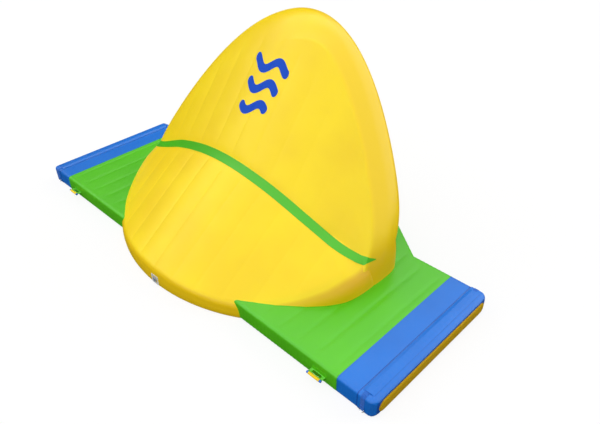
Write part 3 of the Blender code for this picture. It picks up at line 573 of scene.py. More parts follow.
def wall_share(x, z):
    """How far a point of the leaf is from the middle of its foot, 0, towards its outline, 1."""
    rise = z - wall_low.z
    reach = np.hypot(x, rise) + 1e-9
    sine, cosine = np.maximum(np.abs(x) / reach, 1e-4), rise / reach
    height = wall_high.z - wall_low.z
    to_arch = (-cosine + np.sqrt(cosine**2 + 4 * ARCH_CURVE * sine**2 * height)) / (2 * ARCH_CURVE * sine**2)
    to_side = WALL_HALF_WIDTH / sine
    return reach / (to_arch**-24.0 + to_side**-24.0) ** (-1 / 24)


def into_wall_rim(share):
    """0 where the wall's rim begins, and 1 at its outline."""
    return np.clip((share - 1 + WALL_RIM_SHARE) / WALL_RIM_SHARE, 0, 1)


def wall_faces(x, z, share):
    """(front y, back y) of the leaf. Its rim is a superellipse, and its back stands upright at the foot."""
    heel = HEEL_SLOPE * np.maximum(HEEL_TOP - z, 0)
    depth = WALL_DEPTH_AT_FOOT - WALL_DEPTH_TAPER * z + heel
    half = depth / 2 * (1 - into_wall_rim(share) ** RIM_ROUNDNESS) ** (1 / RIM_ROUNDNESS)
    middle = WALL_LEAN * z - WALL_SET + WALL_CURVE * x**2 + depth / 2
    return middle - half, middle + half


def wall_edge(x):
    """How far into the rim the front stays flat. The left half has no such edge, and rounds over softly."""
    return EDGE_AT_LEFT + (EDGE_AT_RIGHT - EDGE_AT_LEFT) * ease(x, -0.4, 0.7)


# From each possible edge, the straight slope that just touches the rim's curve, and where it does
edges = np.linspace(EDGE_AT_LEFT, EDGE_AT_RIGHT, 33)
into = np.linspace(EDGE_AT_LEFT, 0.995, 500)
curve = 1 - (1 - into**RIM_ROUNDNESS) ** (1 / RIM_ROUNDNESS)
slopes = np.where(into > edges[:, None] + 0.01, curve / np.maximum(into - edges[:, None], 0.01), 99)
edge_slopes = slopes.min(axis=1)
edge_joins = into[slopes.argmin(axis=1)]


def bent_front(x, z, share):
    """Front y of the leaf. It stays flat up to the edge where the rim's panel is welded on."""
    into_rim = into_wall_rim(share)
    flat_front, flat_back = wall_faces(x, z, 0 * share)
    bend = np.interp(wall_edge(x), edges, edge_slopes) * np.maximum(into_rim - wall_edge(x), 0)
    bent = into_rim < np.interp(wall_edge(x), edges, edge_joins)
    return np.where(bent, flat_front + bend * (flat_back - flat_front) / 2, wall_faces(x, z, share)[0])


def baffles(x):
    """How deep the skin lies: a narrow valley along each baffle, and a low crown between two."""
    off_pitch = np.abs(x) % BAFFLE_PITCH
    off_baffle = np.minimum(off_pitch, BAFFLE_PITCH - off_pitch)
    crown = CROWN_HEIGHT * (1 - np.sin(math.pi * off_pitch / BAFFLE_PITCH))
    return VALLEY_DEPTH * valley(off_baffle, VALLEY_WIDTH) + crown


def fold_gathers(along, from_fold):
    """Depth of the puckers that the welded strip draws into the skins, dying out away from the fold."""
    return GATHER_DEPTH * (1 + puckers(along, GATHER_PITCH)) * np.exp(-np.abs(from_fold) / GATHER_REACH)


def rim_gathers(along, share):
    """Depth of the puckers along the wall's rim."""
    return RIM_GATHER_DEPTH * (1 + puckers(along, RIM_GATHER_PITCH)) * valley(share - 0.93, 0.05)


def ramp_radius(sideways):
    """Radius of the ramp's rim: small in front, where sideways is 0, and large at the sides, at 1."""
    return RAMP_RIM_RADIUS + (RAMP_SIDE_RADIUS - RAMP_RIM_RADIUS) * np.abs(sideways) ** 4


def at_corner(turn_sine, before, after):
    """1 where the ramp's rim turns from the front to the side, dying out over a reach before and after it."""
    off = -turn_sine - CORNER_SINE
    return np.exp(-((off / np.where(off < 0, before, after)) ** 2))


def corner_fullness(x):
    """How much the ramp's front corners are blown up: the right one in full, the left one by a third."""
    return 0.35 + 0.65 * ease(x, -0.5, 0.5)


def ramp_top(x, y):
    """Height of the ramp's top, z = a + b y - c x^2, rounded down into the rim and behind its shoulders.

    Its front corners are blown up fuller, and it hangs a little under the fold, most on the right.
    """
    share = np.hypot(x / RIM_HALF_LENGTH, (y - RIM_CENTRE_Y) / RIM_HALF_WIDTH)
    sideways = np.abs(x) / RIM_HALF_LENGTH / np.maximum(share, 1e-6)
    turn_sine = (y - RIM_CENTRE_Y) / RIM_HALF_WIDTH / np.maximum(share, 1e-6)
    share = share / (1 + CORNER_BULGE * corner_fullness(x) * at_corner(turn_sine, 0.2, 0.22))
    lift = CORNER_LIFT * corner_fullness(x) * at_corner(turn_sine, 0.12, 0.28) * ease(share, 0.7, 1.0)
    sag = FOLD_SAG * (ease(x, 0, 1.3) + 0.6 * ease(-x, 0.8, 1.6))
    radius = ramp_radius(sideways)
    into_rim = np.clip((share - 1) * RIM_HALF_LENGTH / radius + 1, 0, 1)
    behind = np.maximum(y - SHOULDER_Y, 0) * ease(np.abs(x), 1.1, 1.7)
    fall = SHOULDER_FALL * np.minimum(behind, SHOULDER_DEPTH)
    top = RAMP_PEAK + RAMP_SLOPE * (y - behind) - fall - RAMP_CURVE * x**2 + lift - sag
    return top - radius * (1 - np.sqrt(1 - into_rim**2))


# Where, going up the wall's front at each x, the ramp's top is first met
fold_x = (RIM_HALF_LENGTH - 0.01) * np.linspace(-1, 1, 799)
rise = np.linspace(0, 1, 1500)[:, None]
fold_z = wall_low.z + 0.02 + (wall_high.z - ARCH_CURVE * fold_x**2 - wall_low.z - 0.04) * rise
fold_y = wall_faces(fold_x, fold_z, wall_share(fold_x, fold_z))[0]
over = ramp_top(fold_x, fold_y) - fold_z
first = np.argmax(over < 0, axis=0)
pick = np.arange(len(fold_x))
part = over[first - 1, pick] / (over[first - 1, pick] - over[first, pick])
fold_y = fold_y[first - 1, pick] + part * (fold_y[first, pick] - fold_y[first - 1, pick])
fold_z = fold_z[first - 1, pick] + part * (fold_z[first, pick] - fold_z[first - 1, pick])


def fold_line(x):
    """(y, z) of the fold between wall and ramp, looked up in the table above."""
    return np.interp(x, fold_x, fold_y), np.interp(x, fold_x, fold_z)


def fold_pull(x, distance):
    """How deep the skin is drawn into the fold, at a distance from it, dying out towards the fold's ends.

    Past the fold, where the distance is negative, the skin runs on out of sight under the other one.
    """
    fading = np.clip(1 - (np.abs(x) / (STRIP_END_X + 0.05)) ** 6, 0, 1)
    return (FOLD_PULL * valley(np.maximum(distance, 0), FOLD_REACH) + 0.3 * np.maximum(-distance, 0)) * fading


def wall_front(x, z, share):
    """Points of the wall's front skin, with its baffles, its puckers and the pull of the fold."""
    y = bent_front(x, z, share)
    from_fold = (z - fold_line(x)[1]) * math.hypot(1, WALL_LEAN)
    inwards = baffles(x) * ease(0.95 - share, 0, 0.10) * ease(from_fold, 0, 0.20)
    # A soft hollow low on the right, where the rim turns into the fold
    hollow = HOLLOW_DEPTH * valley(np.hypot(x - HOLLOW_X, (z - HOLLOW_Z) * 0.8), HOLLOW_REACH)
    shift = inwards + fold_gathers(x, from_fold) + rim_gathers(x + 0.7 * z, share) + hollow
    return joined(x, y + shift, z) + fold_pull(x, from_fold)[..., None] * FOLD_INWARDS


angles = np.radians(np.linspace(-90, 90, 281))
to_outline = 1 / wall_share(np.sin(angles), wall_low.z + np.cos(angles))
flat_shares = np.linspace(0, 1 - WALL_RIM_SHARE, 72)[:-1]
swing = np.radians(np.linspace(0, 90, 32))
rim_into = np.sin(swing) ** (2 / RIM_ROUNDNESS)
rim_shares = 1 - WALL_RIM_SHARE + WALL_RIM_SHARE * rim_into
shares = np.concatenate([flat_shares, rim_shares])
reach = shares[:, None] * to_outline
x = reach * np.sin(angles)
z = wall_low.z + reach * np.cos(angles)
share = shares[:, None]
front = wall_front(x, z, share)
back = joined(x, wall_faces(x, z, share)[1], z)
back[..., 1] -= baffles(x) * ease(0.95 - share, 0, 0.10) + rim_gathers(x - 0.5 * z, share)
loop = np.concatenate([front, back[::-1]], axis=0).transpose(1, 0, 2)
into_rim = into_wall_rim(share) + 0 * x
# The front's rim past its edge, on the right half, and the back's rim are painted in the deeper amber as
# shade: in full below about 0.3 m, a third as strongly above 0.85 m.
shade_near_foot = 0.33 + 0.67 * ease(-z, -0.85, -0.30)
front_rim_shade = shade_near_foot * ease(into_rim, wall_edge(x) - 0.03, wall_edge(x) + 0.05) * ease(x, -0.2, 0.7)
back_rim_shade = shade_near_foot * ease(into_rim, 0, 0.2)
painted_shade = np.concatenate([front_rim_shade, back_rim_shade[::-1]]).T
piece("wall_skin", loop, yellow_fabric, "wall_chamber", lids=True, seam_and_shade=painted_shade)


# Low ramp
# The domed yellow chamber in front. Its top rises to the fold, its rim is tight in front and full at the
# sides, and its upright side stands on the water in front of the deck.
RAMP_SINK = 0.02
RAMP_HUB = 0.02
RAMP_SKIN_THICKNESS = 0.0015
HIDDEN_IN_WALL = 0.06
SIDE_BULGE = 0.006
FOOT_TUCK = 0.014


def ramp_relief(x, y):
    """How far the ramp's skin is lifted by its baffles and by the puckers along the fold."""
    fold_y, _ = fold_line(x)
    from_fold = (fold_y - y) * math.hypot(1, RAMP_SLOPE)
    return -baffles(x) * ease(from_fold, 0, 0.20) - fold_gathers(x + 0.2, from_fold), from_fold


turns = np.radians(np.linspace(172, 368, 381))
sideways = np.cos(turns)
radius = ramp_radius(sideways)
flat_end = 1 - radius / RIM_HALF_LENGTH
shares = RAMP_HUB + (flat_end - RAMP_HUB) * np.linspace(0, 1, 116)[:, None]
swing = np.radians(np.linspace(6, 90, 15))[:, None]
shares = np.concatenate([shares, 1 - (1 - np.sin(swing)) * radius / RIM_HALF_LENGTH])
corner_share = corner_fullness(RIM_HALF_LENGTH * sideways) * at_corner(np.sin(turns), 0.2, 0.22)
fuller = 1 + CORNER_BULGE * corner_share
x = RIM_HALF_LENGTH * fuller * shares * sideways
y = RIM_CENTRE_Y + RIM_HALF_WIDTH * fuller * shares * np.sin(turns)
into_rim = np.clip((shares - 1) * RIM_HALF_LENGTH / radius + 1, 0, 1)
z = ramp_top(x, y)
relief, from_fold = ramp_relief(x, y)
z = z + relief * (1 - into_rim)
# Behind the fold the sheet dives into the wall, out of sight, so that no gap can show
pull = np.minimum(fold_pull(x, from_fold), 0.12)
top_points = joined(x, y, z) + pull[..., None] * FOLD_INWARDS
dive_y, dive_z = top_points[..., 1], top_points[..., 2]
wall_back = wall_faces(x, dive_z, wall_share(x, dive_z))[1]
out_of_sight = (from_fold < -0.02) & (np.abs(x) < 1.85)
top_points[..., 1] = np.where(out_of_sight, np.minimum(dive_y, wall_back - HIDDEN_IN_WALL), dive_y)
rim_points = top_points[-1]
drop = np.linspace(0, 1, 17)[1:, None]
side_bulge = SIDE_BULGE * np.sin(math.pi * drop)
side_z = rim_points[:, 2] * (1 - drop)
tuck = FOOT_TUCK * np.clip((drop - 0.9) / 0.1, 0, 1) ** 2
out_x, out_y = sideways / RIM_HALF_LENGTH, np.sin(turns) / RIM_HALF_WIDTH
out_length = np.hypot(out_x, out_y)
side_x = rim_points[:, 0] + (side_bulge - tuck) * out_x / out_length
side_y = rim_points[:, 1] + (side_bulge - tuck) * out_y / out_length
side_points = joined(side_x, side_y, side_z)
sheet = np.concatenate([top_points, side_points])
sunk = np.maximum(sheet[..., 2], deck_high.z - RAMP_SINK)
sheet[..., 2] = np.where(sheet[..., 1] > deck_low.y + 0.01, sunk, sheet[..., 2])
# The ramp's rim and its upright side are painted in the deeper amber as shade, a little under half as
# strongly in front as at the sides.
painted_shade = np.concatenate([ease(into_rim, 0.35, 0.7), np.ones(side_z.shape)]) * (0.42 + 0.58 * sideways**4)
ramp = piece("ramp_skin", sheet, yellow_fabric, "ramp_chamber", around=False, seam_and_shade=painted_shade)
solid = ramp.modifiers.new("skin_thickness", "SOLIDIFY")
solid.thickness = RAMP_SKIN_THICKNESS
solid.offset = -1.0


# Crease strip
# A green tape welded over the fold, half on the ramp and half on the wall. It spans the fold nearly flat,
# narrows towards the sides, and its pointed ends run out on the wall's rim.
STRIP_WIDTH = 0.115
STRIP_THICKNESS = 0.0022
STRIP_BEDDING = 0.0012
STRIP_ARCH = 0.004
STRIP_TAPER = 0.12
STRIP_POINT = 0.06
STRIP_LEFT_END_X = 1.985
# How high up the slope the tape's middle runs, at places along x
STRIP_X = (-2.09, -2.05, -1.97, -1.85, -1.70, -1.48, -1.12, -0.80, -0.51, -0.25, 0.0,
           0.23, 0.45, 0.65, 0.84, 1.03, 1.21, 1.38, 1.55, 1.70, 1.85, 1.97, 2.05, 2.09)
STRIP_UP = (0.575, 0.540, 0.528, 0.528, 0.545, 0.590, 0.674, 0.725, 0.756, 0.769, 0.768,
            0.757, 0.737, 0.715, 0.687, 0.654, 0.618, 0.586, 0.551, 0.525, 0.513, 0.518, 0.538, 0.575)

green_tape = coated_fabric("green_pvc_tape", "46B40E", "3A9E0E", "green_tape", roughness=0.36)


def depth_to_skins(x, y, z):
    """How far each point goes along FOLD_INWARDS until it meets the pulled skin of ramp or wall."""
    travel = np.linspace(-0.20, 0.24, 221)
    x, y, z = (np.broadcast_to(v[..., None], (*v.shape, len(travel))) for v in (x, y, z))
    y, z = y + travel * FOLD_INWARDS[1], z + travel * FOLD_INWARDS[2]
    off_wall = bent_front(x, z, wall_share(x, z)) - y
    off_ramp = z - ramp_top(x, y)
    clear = np.minimum(off_wall, off_ramp)
    met = np.maximum(np.argmax(clear < 0, axis=-1), 1)[..., None]
    before, after = (np.take_along_axis(clear, k, axis=-1)[..., 0] for k in (met - 1, met))
    depth = travel[met[..., 0] - 1] + (travel[1] - travel[0]) * before / (before - after)
    y, z, x = (np.take_along_axis(v, met, axis=-1)[..., 0] for v in (y, z, x))
    on_wall = np.take_along_axis(off_wall < off_ramp, met, axis=-1)[..., 0]
    line_y, line_z = fold_line(x)
    up_wall, down_ramp = (z - line_z) * math.hypot(1, WALL_LEAN), (line_y - y) * math.hypot(1, RAMP_SLOPE)
    distance = np.where(on_wall, up_wall, down_ramp)
    return depth + fold_pull(x, np.maximum(distance, 0))


swing = np.radians(np.linspace(-90, 90, 361))
end_x = np.where(swing < 0, STRIP_LEFT_END_X, STRIP_END_X)
x = end_x * np.sin(swing)
to_end = end_x - np.abs(x)
up_slope = np.array([0.0, -FOLD_INWARDS[2], FOLD_INWARDS[1]])
even_x = np.linspace(STRIP_X[0], STRIP_X[-1], 419)
even_up = np.interp(even_x, STRIP_X, STRIP_UP)
softening = valley(np.linspace(-1, 1, 31), 0.5)
even_up[15:-15] = np.convolve(even_up, softening / softening.sum(), mode="valid")
line_y, line_z = fold_line(np.clip(x, -1.8, 1.8))
slide = np.interp(x, even_x, even_up) - line_y * up_slope[1] - line_z * up_slope[2]
middle_line = joined(x, line_y, line_z) + slide[:, None] * up_slope
half = STRIP_WIDTH / 2 * (1 - STRIP_TAPER * ease(np.abs(x), 1.0, 1.95))
lower = -half + 2 * half * ease(-to_end, -STRIP_POINT, 0.01) ** 1.5
across_share = np.array([0, 0.008, 0.035, 0.12, 0.25, 0.375, 0.5, 0.625, 0.75, 0.88, 0.965, 0.992, 1])
edge_lift = np.sqrt(1 - np.abs(2 * across_share - 1) ** 12)
offset = lower[:, None] + (half - lower)[:, None] * across_share
flat = middle_line[:, None] + offset[..., None] * up_slope
depth = depth_to_skins(*np.moveaxis(flat, -1, 0))
bridge = depth[:, :1] + (depth[:, -1:] - depth[:, :1]) * across_share
depth = np.minimum(depth, bridge + STRIP_ARCH * np.sin(math.pi * across_share)) - STRIP_BEDDING
lie = flat + depth[..., None] * FOLD_INWARDS
above = lie - (STRIP_THICKNESS * edge_lift)[None, :, None] * FOLD_INWARDS
below = lie + STRIP_BEDDING * FOLD_INWARDS
ring = np.concatenate([above, below[:, ::-1]], axis=1)
seam_and_shade = np.concatenate([valley(1 - np.abs(2 * across_share - 1), 0.06)] * 2) * 0.5
piece("crease_tape", ring, green_tape, "crease_strip", lids=True, seam_and_shade=seam_and_shade)


# Printed waves
# Three wavy stripes of blue ink on the wall's front, above the fold: a thin glossy film on the fabric.
PRINT_MIDDLE_Z = 1.95
PRINT_WAVES = 3
PRINT_PITCH = 0.215
PRINT_STROKE = 0.088
PRINT_HALF_WIDTH = 0.31
PRINT_SWING = 0.050
PRINT_WAVE_LENGTH = 0.42

print_ink, tree, place = new_material("blue_vinyl_ink")
grain = noise(tree, place, 60.0, 3.0)
rough = mapped(tree, grain, (0.3, 0.7), (0.34, 0.46))
tone = two_tones(tree, grain, "0044BE", "064EC8")
surface(tree, {"Base Color": tone, "Roughness": rough, "Specular IOR Level": 0.12})

for wave in range(PRINT_WAVES):
    share = np.linspace(-1, 1, 181)
    line_x = PRINT_HALF_WIDTH * (1 - 0.14 * wave) * share
    rise = PRINT_SWING * np.sin(math.tau * line_x / PRINT_WAVE_LENGTH)
    line_z = PRINT_MIDDLE_Z + (1 - wave) * PRINT_PITCH + rise
    line = joined(line_x, line_z)
    along = headings(line)
    run = np.concatenate([[0], np.cumsum(np.linalg.norm(np.diff(line, axis=0), axis=1))])
    to_end = np.minimum(run, run[-1] - run)
    half = PRINT_STROKE / 2
    half = half * np.sqrt(1 - np.clip(1 - to_end / half, 0, 1) ** 2)
    offset = half[:, None] * np.linspace(-1, 1, 13)
    flat_x = line_x[:, None] - along[:, 1:] * offset
    flat_z = line_z[:, None] + along[:, :1] * offset
    skin_points = wall_front(flat_x, flat_z, wall_share(flat_x, flat_z))
    above = skin_points + np.array([0, -0.0016, 0.0010])
    below = skin_points + np.array([0, -0.0004, 0.0002])
    ring = np.concatenate([above, below[:, ::-1]], axis=1)
    piece(f"printed_wave_{wave + 1}", ring, (print_ink, "blue_coated_fabric"), lids=True)


# Joining straps
# Blue polyester webbing, 50 mm wide, runs through the tunnel, over the edge and down both sides. It turns
# back round the bar of a steel ring and is sewn to itself.
JOIN_X = 3.015
JOIN_RING_Z = 0.060
WEB_WIDTH = 0.050
WEB_THICKNESS = 0.0025
SEWN_TOP_Z = 0.100
RING_WIRE = 0.005
GAP = 0.0003


def webbing(name, hex_code, shade_hex, slot):
    """Woven polyester tape: ribs across it 1.6 mm apart, with a dull nap. The hollows between the ribs are
    painted darker, as shade.
    """
    made, tree, place = new_material(name)
    relief = threads(tree, place, 0.0016)
    # The hollows between the ribs take the second, darker colour as painted shade
    thread = two_tones(tree, mapped(tree, relief, (0.5, 2.2), (1.0, 0.0)), hex_code, shade_hex)
    bump = add_node(tree, "Bump", {"Strength": 0.8, "Distance": 0.0004, "Height": relief})
    surface(tree, {"Base Color": thread, "Roughness": 0.75, "Sheen Weight": 0.08, "Normal": bump})
    return made, slot


def bend(centre, radius, from_degrees, to_degrees, steps):
    """Points (u, v) along an arc."""
    swing = np.radians(np.linspace(from_degrees, to_degrees, steps))
    return joined(centre[0] + radius * np.cos(swing), centre[1] + radius * np.sin(swing))


def squared(wave, power):
    """A sine or cosine raised to a power with its sign kept. Below 1, a circle of them grows corners."""
    return np.sign(wave) * np.abs(wave) ** power


def ribbon(path, width, thickness, middle_x):
    """Points of a strap along a path of (y, z): a flat section with soft edges, carried along the path."""
    along = headings(path)
    out = joined(-along[:, 1], along[:, 0])
    swing = np.radians(np.arange(0, 360, 15) + 7.5)
    flat = squared(np.cos(swing), 0.25) * width / 2
    thick = squared(np.sin(swing), 0.45) * thickness / 2
    return joined(middle_x + flat, path[:, :1] + out[:, :1] * thick, path[:, 1:] + out[:, 1:] * thick)


blue_webbing = webbing("blue_polyester_webbing", "1C6AD0", "1450A4", "blue_webbing")
ring_y = -deck_low.y + CUFF_PROUD + 2 * GAP + 0.0043 + WEB_THICKNESS
bar_wrap = RING_WIRE / 2 + GAP + WEB_THICKNESS / 2
eye_wrap = RING_WIRE / 2 + 0.0008 + WEB_THICKNESS / 2
edge_y = -deck_low.y + CUFF_PROUD - DECK_ROUNDING
edge_z = deck_high.z + CUFF_PROUD - DECK_ROUNDING
lie_off = GAP + WEB_THICKNESS / 2
over_edge = bend((edge_y, edge_z), DECK_ROUNDING + lie_off + 0.0006, 90, 0, 14)
lie_y = over_edge[-1, 0]
down_end = (lie_y, SEWN_TOP_Z)
to_ring = np.linspace(down_end, (ring_y - eye_wrap, JOIN_RING_Z + 0.012), 6)
eye = bend((ring_y, JOIN_RING_Z), eye_wrap, 180, 360, 16)
hem = WEB_THICKNESS + 2 * GAP
low_y = lie_y + (ring_y - eye_wrap - lie_y) * 0.8 + hem
sewn = np.linspace((low_y, JOIN_RING_Z + 0.018), (lie_y + hem, SEWN_TOP_Z), 4)
one_side = np.concatenate([over_edge, np.linspace(over_edge[-1], down_end, 8)[1:-1], to_ring, eye, sewn])
path = np.concatenate([one_side[::-1] * (-1, 1), one_side])
for side, label in ENDS:
    points = ribbon(path, WEB_WIDTH, WEB_THICKNESS, side * JOIN_X)
    piece(f"joining_web_{label}", points, blue_webbing, f"joining_strap_{label}", lids=True)


# Rings
# D-shaped rings bent from 5 mm stainless wire, butt-welded and polished. Each hangs from its straight bar.
RING_HALF_WIDTH = 0.030
RING_DEPTH = 0.043
RING_BEND = 0.006

stainless, tree, place = new_material("polished_stainless_wire")
polish = mapped(tree, noise(tree, place, 220.0, 4.0), (0.3, 0.7), (0.16, 0.30))
surface(tree, {"Base Color": colour("C9CCCF"), "Metallic": 1.0, "Roughness": polish})


def hanging_ring(name, body, place):
    """Wire of round section carried along a D: a straight bar, two tight bends and a round bow below."""
    bow = np.radians(np.linspace(12, 168, 41))
    bow_x = RING_HALF_WIDTH * squared(np.cos(bow), 0.8)
    bow_z = -RING_BEND - (RING_DEPTH - RING_BEND) * np.sin(bow) ** 0.9
    bar_half = RING_HALF_WIDTH - RING_BEND
    right_bend = bend((bar_half, -RING_BEND), RING_BEND, 90, 0, 8)
    left_bend = bend((-bar_half, -RING_BEND), RING_BEND, 180, 90, 8)
    bar = joined(np.linspace(-bar_half, bar_half, 9)[1:-1], np.zeros(7))
    path = np.concatenate([bar, right_bend, joined(bow_x, bow_z), left_bend])
    along = np.roll(path, -1, axis=0) - np.roll(path, 1, axis=0)
    along /= np.linalg.norm(along, axis=1)[:, None]
    swing = np.radians(np.arange(0, 360, 30))
    wire = RING_WIRE / 2
    points = joined(
        path[:, :1] - along[:, 1:] * wire * np.cos(swing), wire * np.sin(swing),
        path[:, 1:] + along[:, :1] * wire * np.cos(swing),
    )
    points = np.concatenate([points, points[:1]]) + place
    piece(name, points, (stainless, "stainless_steel"), body, body)


for side, label in ENDS:
    for out, edge in EDGES:
        body = f"joining_ring_{label}_{edge}"
        hanging_ring(f"join_d_ring_{label}_{edge}", body, (side * JOIN_X, out * ring_y, JOIN_RING_Z))


# Mooring points
# On the flare's rear edge a round green patch is welded on, and webbing sewn to it holds a ring.
MOORING_X = 0.60
MOORING_Z = 0.125
PATCH_RADIUS = 0.060
PATCH_THICKNESS = 0.004
MOORING_WEB_WIDTH = 0.040

green_webbing = webbing("green_polyester_webbing", "3FAE18", "2F8C10", "green_webbing")
patch_face = deck_high.y + GAP
skin_face = patch_face + PATCH_THICKNESS
bar_y = skin_face + GAP + RING_WIRE / 2 + 0.0002
lie_y = skin_face + lie_off
hump = bend((bar_y, MOORING_Z), bar_wrap, 60, -60, 14)
upper = np.linspace((lie_y, MOORING_Z + 0.045), (lie_y, MOORING_Z + 0.012), 8)
lower = np.linspace((lie_y, MOORING_Z - 0.012), (lie_y, MOORING_Z - 0.028), 5)
for side, label in ENDS:
    radii = np.array([[0.0, 0.9, 0.97, 1.0, 1.0, 0.97, 0.90, 0.6, 0.3, 0.0]]).T * PATCH_RADIUS
    height = np.array([[0, 0, 0, 0.25, 0.6, 0.93, 1.0, 1.0, 1.0, 1.0]]).T * PATCH_THICKNESS
    swing = np.radians(np.arange(0, 360, 6))
    points = joined(
        side * MOORING_X + radii * np.cos(swing), patch_face + height, MOORING_Z + radii * np.sin(swing),
    )
    seam_and_shade = 0.6 * valley(radii / PATCH_RADIUS - 0.97, 0.04)
    piece(f"mooring_doubler_{label}", points, green_fabric, f"mooring_patch_{label}", seam_and_shade=seam_and_shade)
    points = ribbon(np.concatenate([upper, hump, lower]), MOORING_WEB_WIDTH, WEB_THICKNESS, side * MOORING_X)
    piece(f"mooring_web_{label}", points, green_webbing, f"mooring_webbing_{label}", lids=True)
    hanging_ring(f"mooring_d_ring_{label}", f"mooring_ring_{label}", (side * MOORING_X, bar_y, MOORING_Z))


# Grab handles
# A welded green flap carries a yellow foam grip along its outer edge. The grip is slipped over a blue core
# whose knobs keep it in place, and the flap has a slot for the fingers.
HANDLE_X = 2.447
HANDLE_Z = 0.100
HANDLE_REACH = 0.0547
FLAP_ROUNDING = 0.0008
GRIP_RADIUS = 0.016
GRIP_BORE = 0.009
GRIP_LENGTH = 0.150
GRIP_ROUNDING = 0.004
GRIP_RIB_HEIGHT = 0.0005
GRIP_RIB_PITCH = 0.006
CORE_RADIUS = 0.0087
CORE_LENGTH = 0.196
KNOB_RADIUS = 0.014
KNOB_ROUNDING = 0.004


def moulded_plastic(name, hex_code, slot, roughness, grain=900.0):
    """Injection-moulded polypropylene: an even colour with a fine spark-eroded grain, about 1 mm across."""
    made, tree, place = new_material(name)
    texture = noise(tree, place, grain, 2.0)
    rough = mapped(tree, texture, (0.3, 0.7), (roughness - 0.05, roughness + 0.08))
    bump = add_node(tree, "Bump", {"Strength": 0.4, "Distance": 0.0002, "Height": texture})
    surface(tree, {"Base Color": colour(hex_code), "Roughness": rough, "IOR": 1.49, "Normal": bump})
    return made, slot


def turned(profile, sides=64, flute=0.0, flutes=1):
    """Points of a profile of (radius, height) turned about +Z, with flutes cut into its widest part."""
    profile = np.array(profile)
    swing = np.arange(sides) * math.tau / sides
    widest = (profile[:, 0] > profile[:, 0].max() - 0.0012)[:, None]
    radius = profile[:, :1] - flute * widest * (0.5 + 0.5 * np.cos(flutes * swing))
    height = np.broadcast_to(profile[:, 1:], radius.shape)
    return joined(radius * np.cos(swing), radius * np.sin(swing), height)


def soft_copy(name, node, finish):
    """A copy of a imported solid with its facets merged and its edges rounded, which stands for the solid."""
    bm = bmesh.new()
    bm.from_mesh(frame["nodes"][node].data)
    bmesh.ops.remove_doubles(bm, verts=bm.verts, dist=1e-5)
    bmesh.ops.dissolve_limit(bm, angle_limit=math.radians(1), verts=bm.verts, edges=bm.edges)
    mesh = bpy.data.meshes.new(name)
    bm.to_mesh(mesh)
    bm.free()
    mesh.attributes.new("seam_and_shade", "FLOAT", "POINT")
    mesh.shade_smooth()
    made = placed(name, mesh, finish, node)
    bevel = made.modifiers.new("rounding", "BEVEL")
    bevel.width = FLAP_ROUNDING
    bevel.segments = 2
    bevel.limit_method = "ANGLE"
    bevel.angle_limit = math.radians(35)


grip_foam = moulded_plastic("yellow_eva_foam", "F8D214", "yellow_grip_foam", 0.62, grain=500.0)
blue_plastic = moulded_plastic("blue_moulded_polypropylene", "1F68D2", "blue_plastic", 0.38)
x = np.linspace(-GRIP_LENGTH / 2, GRIP_LENGTH / 2, 151)
rib = GRIP_RIB_HEIGHT * (0.5 - 0.5 * np.cos(math.tau * x / GRIP_RIB_PITCH))
into_end = np.clip((np.abs(x) - GRIP_LENGTH / 2 + GRIP_ROUNDING) / GRIP_ROUNDING, 0, 1)
round_end = GRIP_RADIUS - GRIP_ROUNDING * (1 - np.sqrt(1 - into_end**2))
grip_profile = np.concatenate([
    [[GRIP_BORE, x[0]]],
    joined(round_end - rib, x),
    [[GRIP_BORE, x[-1]], [GRIP_BORE, x[0]]],
])
neck = GRIP_LENGTH / 2 + GAP
knob_end = CORE_LENGTH / 2
knob = bend((KNOB_RADIUS - KNOB_ROUNDING, knob_end - KNOB_ROUNDING), KNOB_ROUNDING, 0, 90, 7)
half_core = np.concatenate([
    [[CORE_RADIUS, neck], [KNOB_RADIUS - 0.001, neck], [KNOB_RADIUS, neck + 0.001]], knob,
])
core_profile = np.concatenate([
    [[0.0, -knob_end]], half_core[::-1] * np.array([1, -1]), half_core, [[0.0, knob_end]],
])
grip_y = -deck_low.y + 2 * GAP + HANDLE_REACH + GRIP_RADIUS
for side, label in ENDS:
    for out, edge in EDGES:
        where = f"{label}_{edge}"
        soft_copy(f"grab_flap_{where}", f"handle_flap_{where}", green_fabric)
        axis = np.array([side * HANDLE_X, out * grip_y, HANDLE_Z])
        lay = [2, 0, 1]
        points = turned(grip_profile)[..., lay] + axis
        grip = piece(f"grab_grip_{where}", points, grip_foam, f"handle_grip_{where}")
        points = turned(core_profile, sides=48)[..., lay] + axis
        piece(f"grab_core_{where}", points, blue_plastic, f"handle_core_{where}")


# Inflation valves
# Each is a moulded body whose flange is clamped to the skin, a quarter-turn cap with a finger bar, and a
# sprung plunger under the cap. The one on the ramp sits on a pale square doubler.
FLANGE_RADIUS = 0.052
FLANGE_THICKNESS = 0.0045
FLANGE_GROOVE = 0.0008
COLLAR_RADIUS = 0.0285
COLLAR_TOP = 0.012
BARREL_RADIUS = 0.0265
BARREL_DEPTH = 0.034
BORE_RADIUS = 0.020
CAP_RADIUS = 0.0335
CAP_TOP = 0.0185
CAP_CEILING = 0.015
MOULDED_ROUNDING = 0.003
CAP_BAR_HEIGHT = 0.008
CAP_BAR_HALF = (0.026, 0.0045)
CAP_BAR_SLOPE = 0.0016
COIL_RADIUS = 0.0072
COIL_WIRE_RADIUS = 0.0007
COIL_TURNS = 3
COIL_FOOT = -0.010
COIL_TOP = 0.0030
# Pressed 8 mm, the coil keeps this share of its height
DOUBLER_HALF = (0.068, 0.066)
DOUBLER_THICKNESS = 0.0012

valve_plastic = moulded_plastic("pale_moulded_polypropylene", "D6DADE", "valve_plastic", 0.36)
cap_plastic = moulded_plastic("grey_moulded_polypropylene", "8C959F", "cap_plastic", 0.40)
doubler_fabric = coated_fabric("pale_grey_pvc_doubler", "DCE0E4", "B9BFC6", "valve_plastic", roughness=0.45)

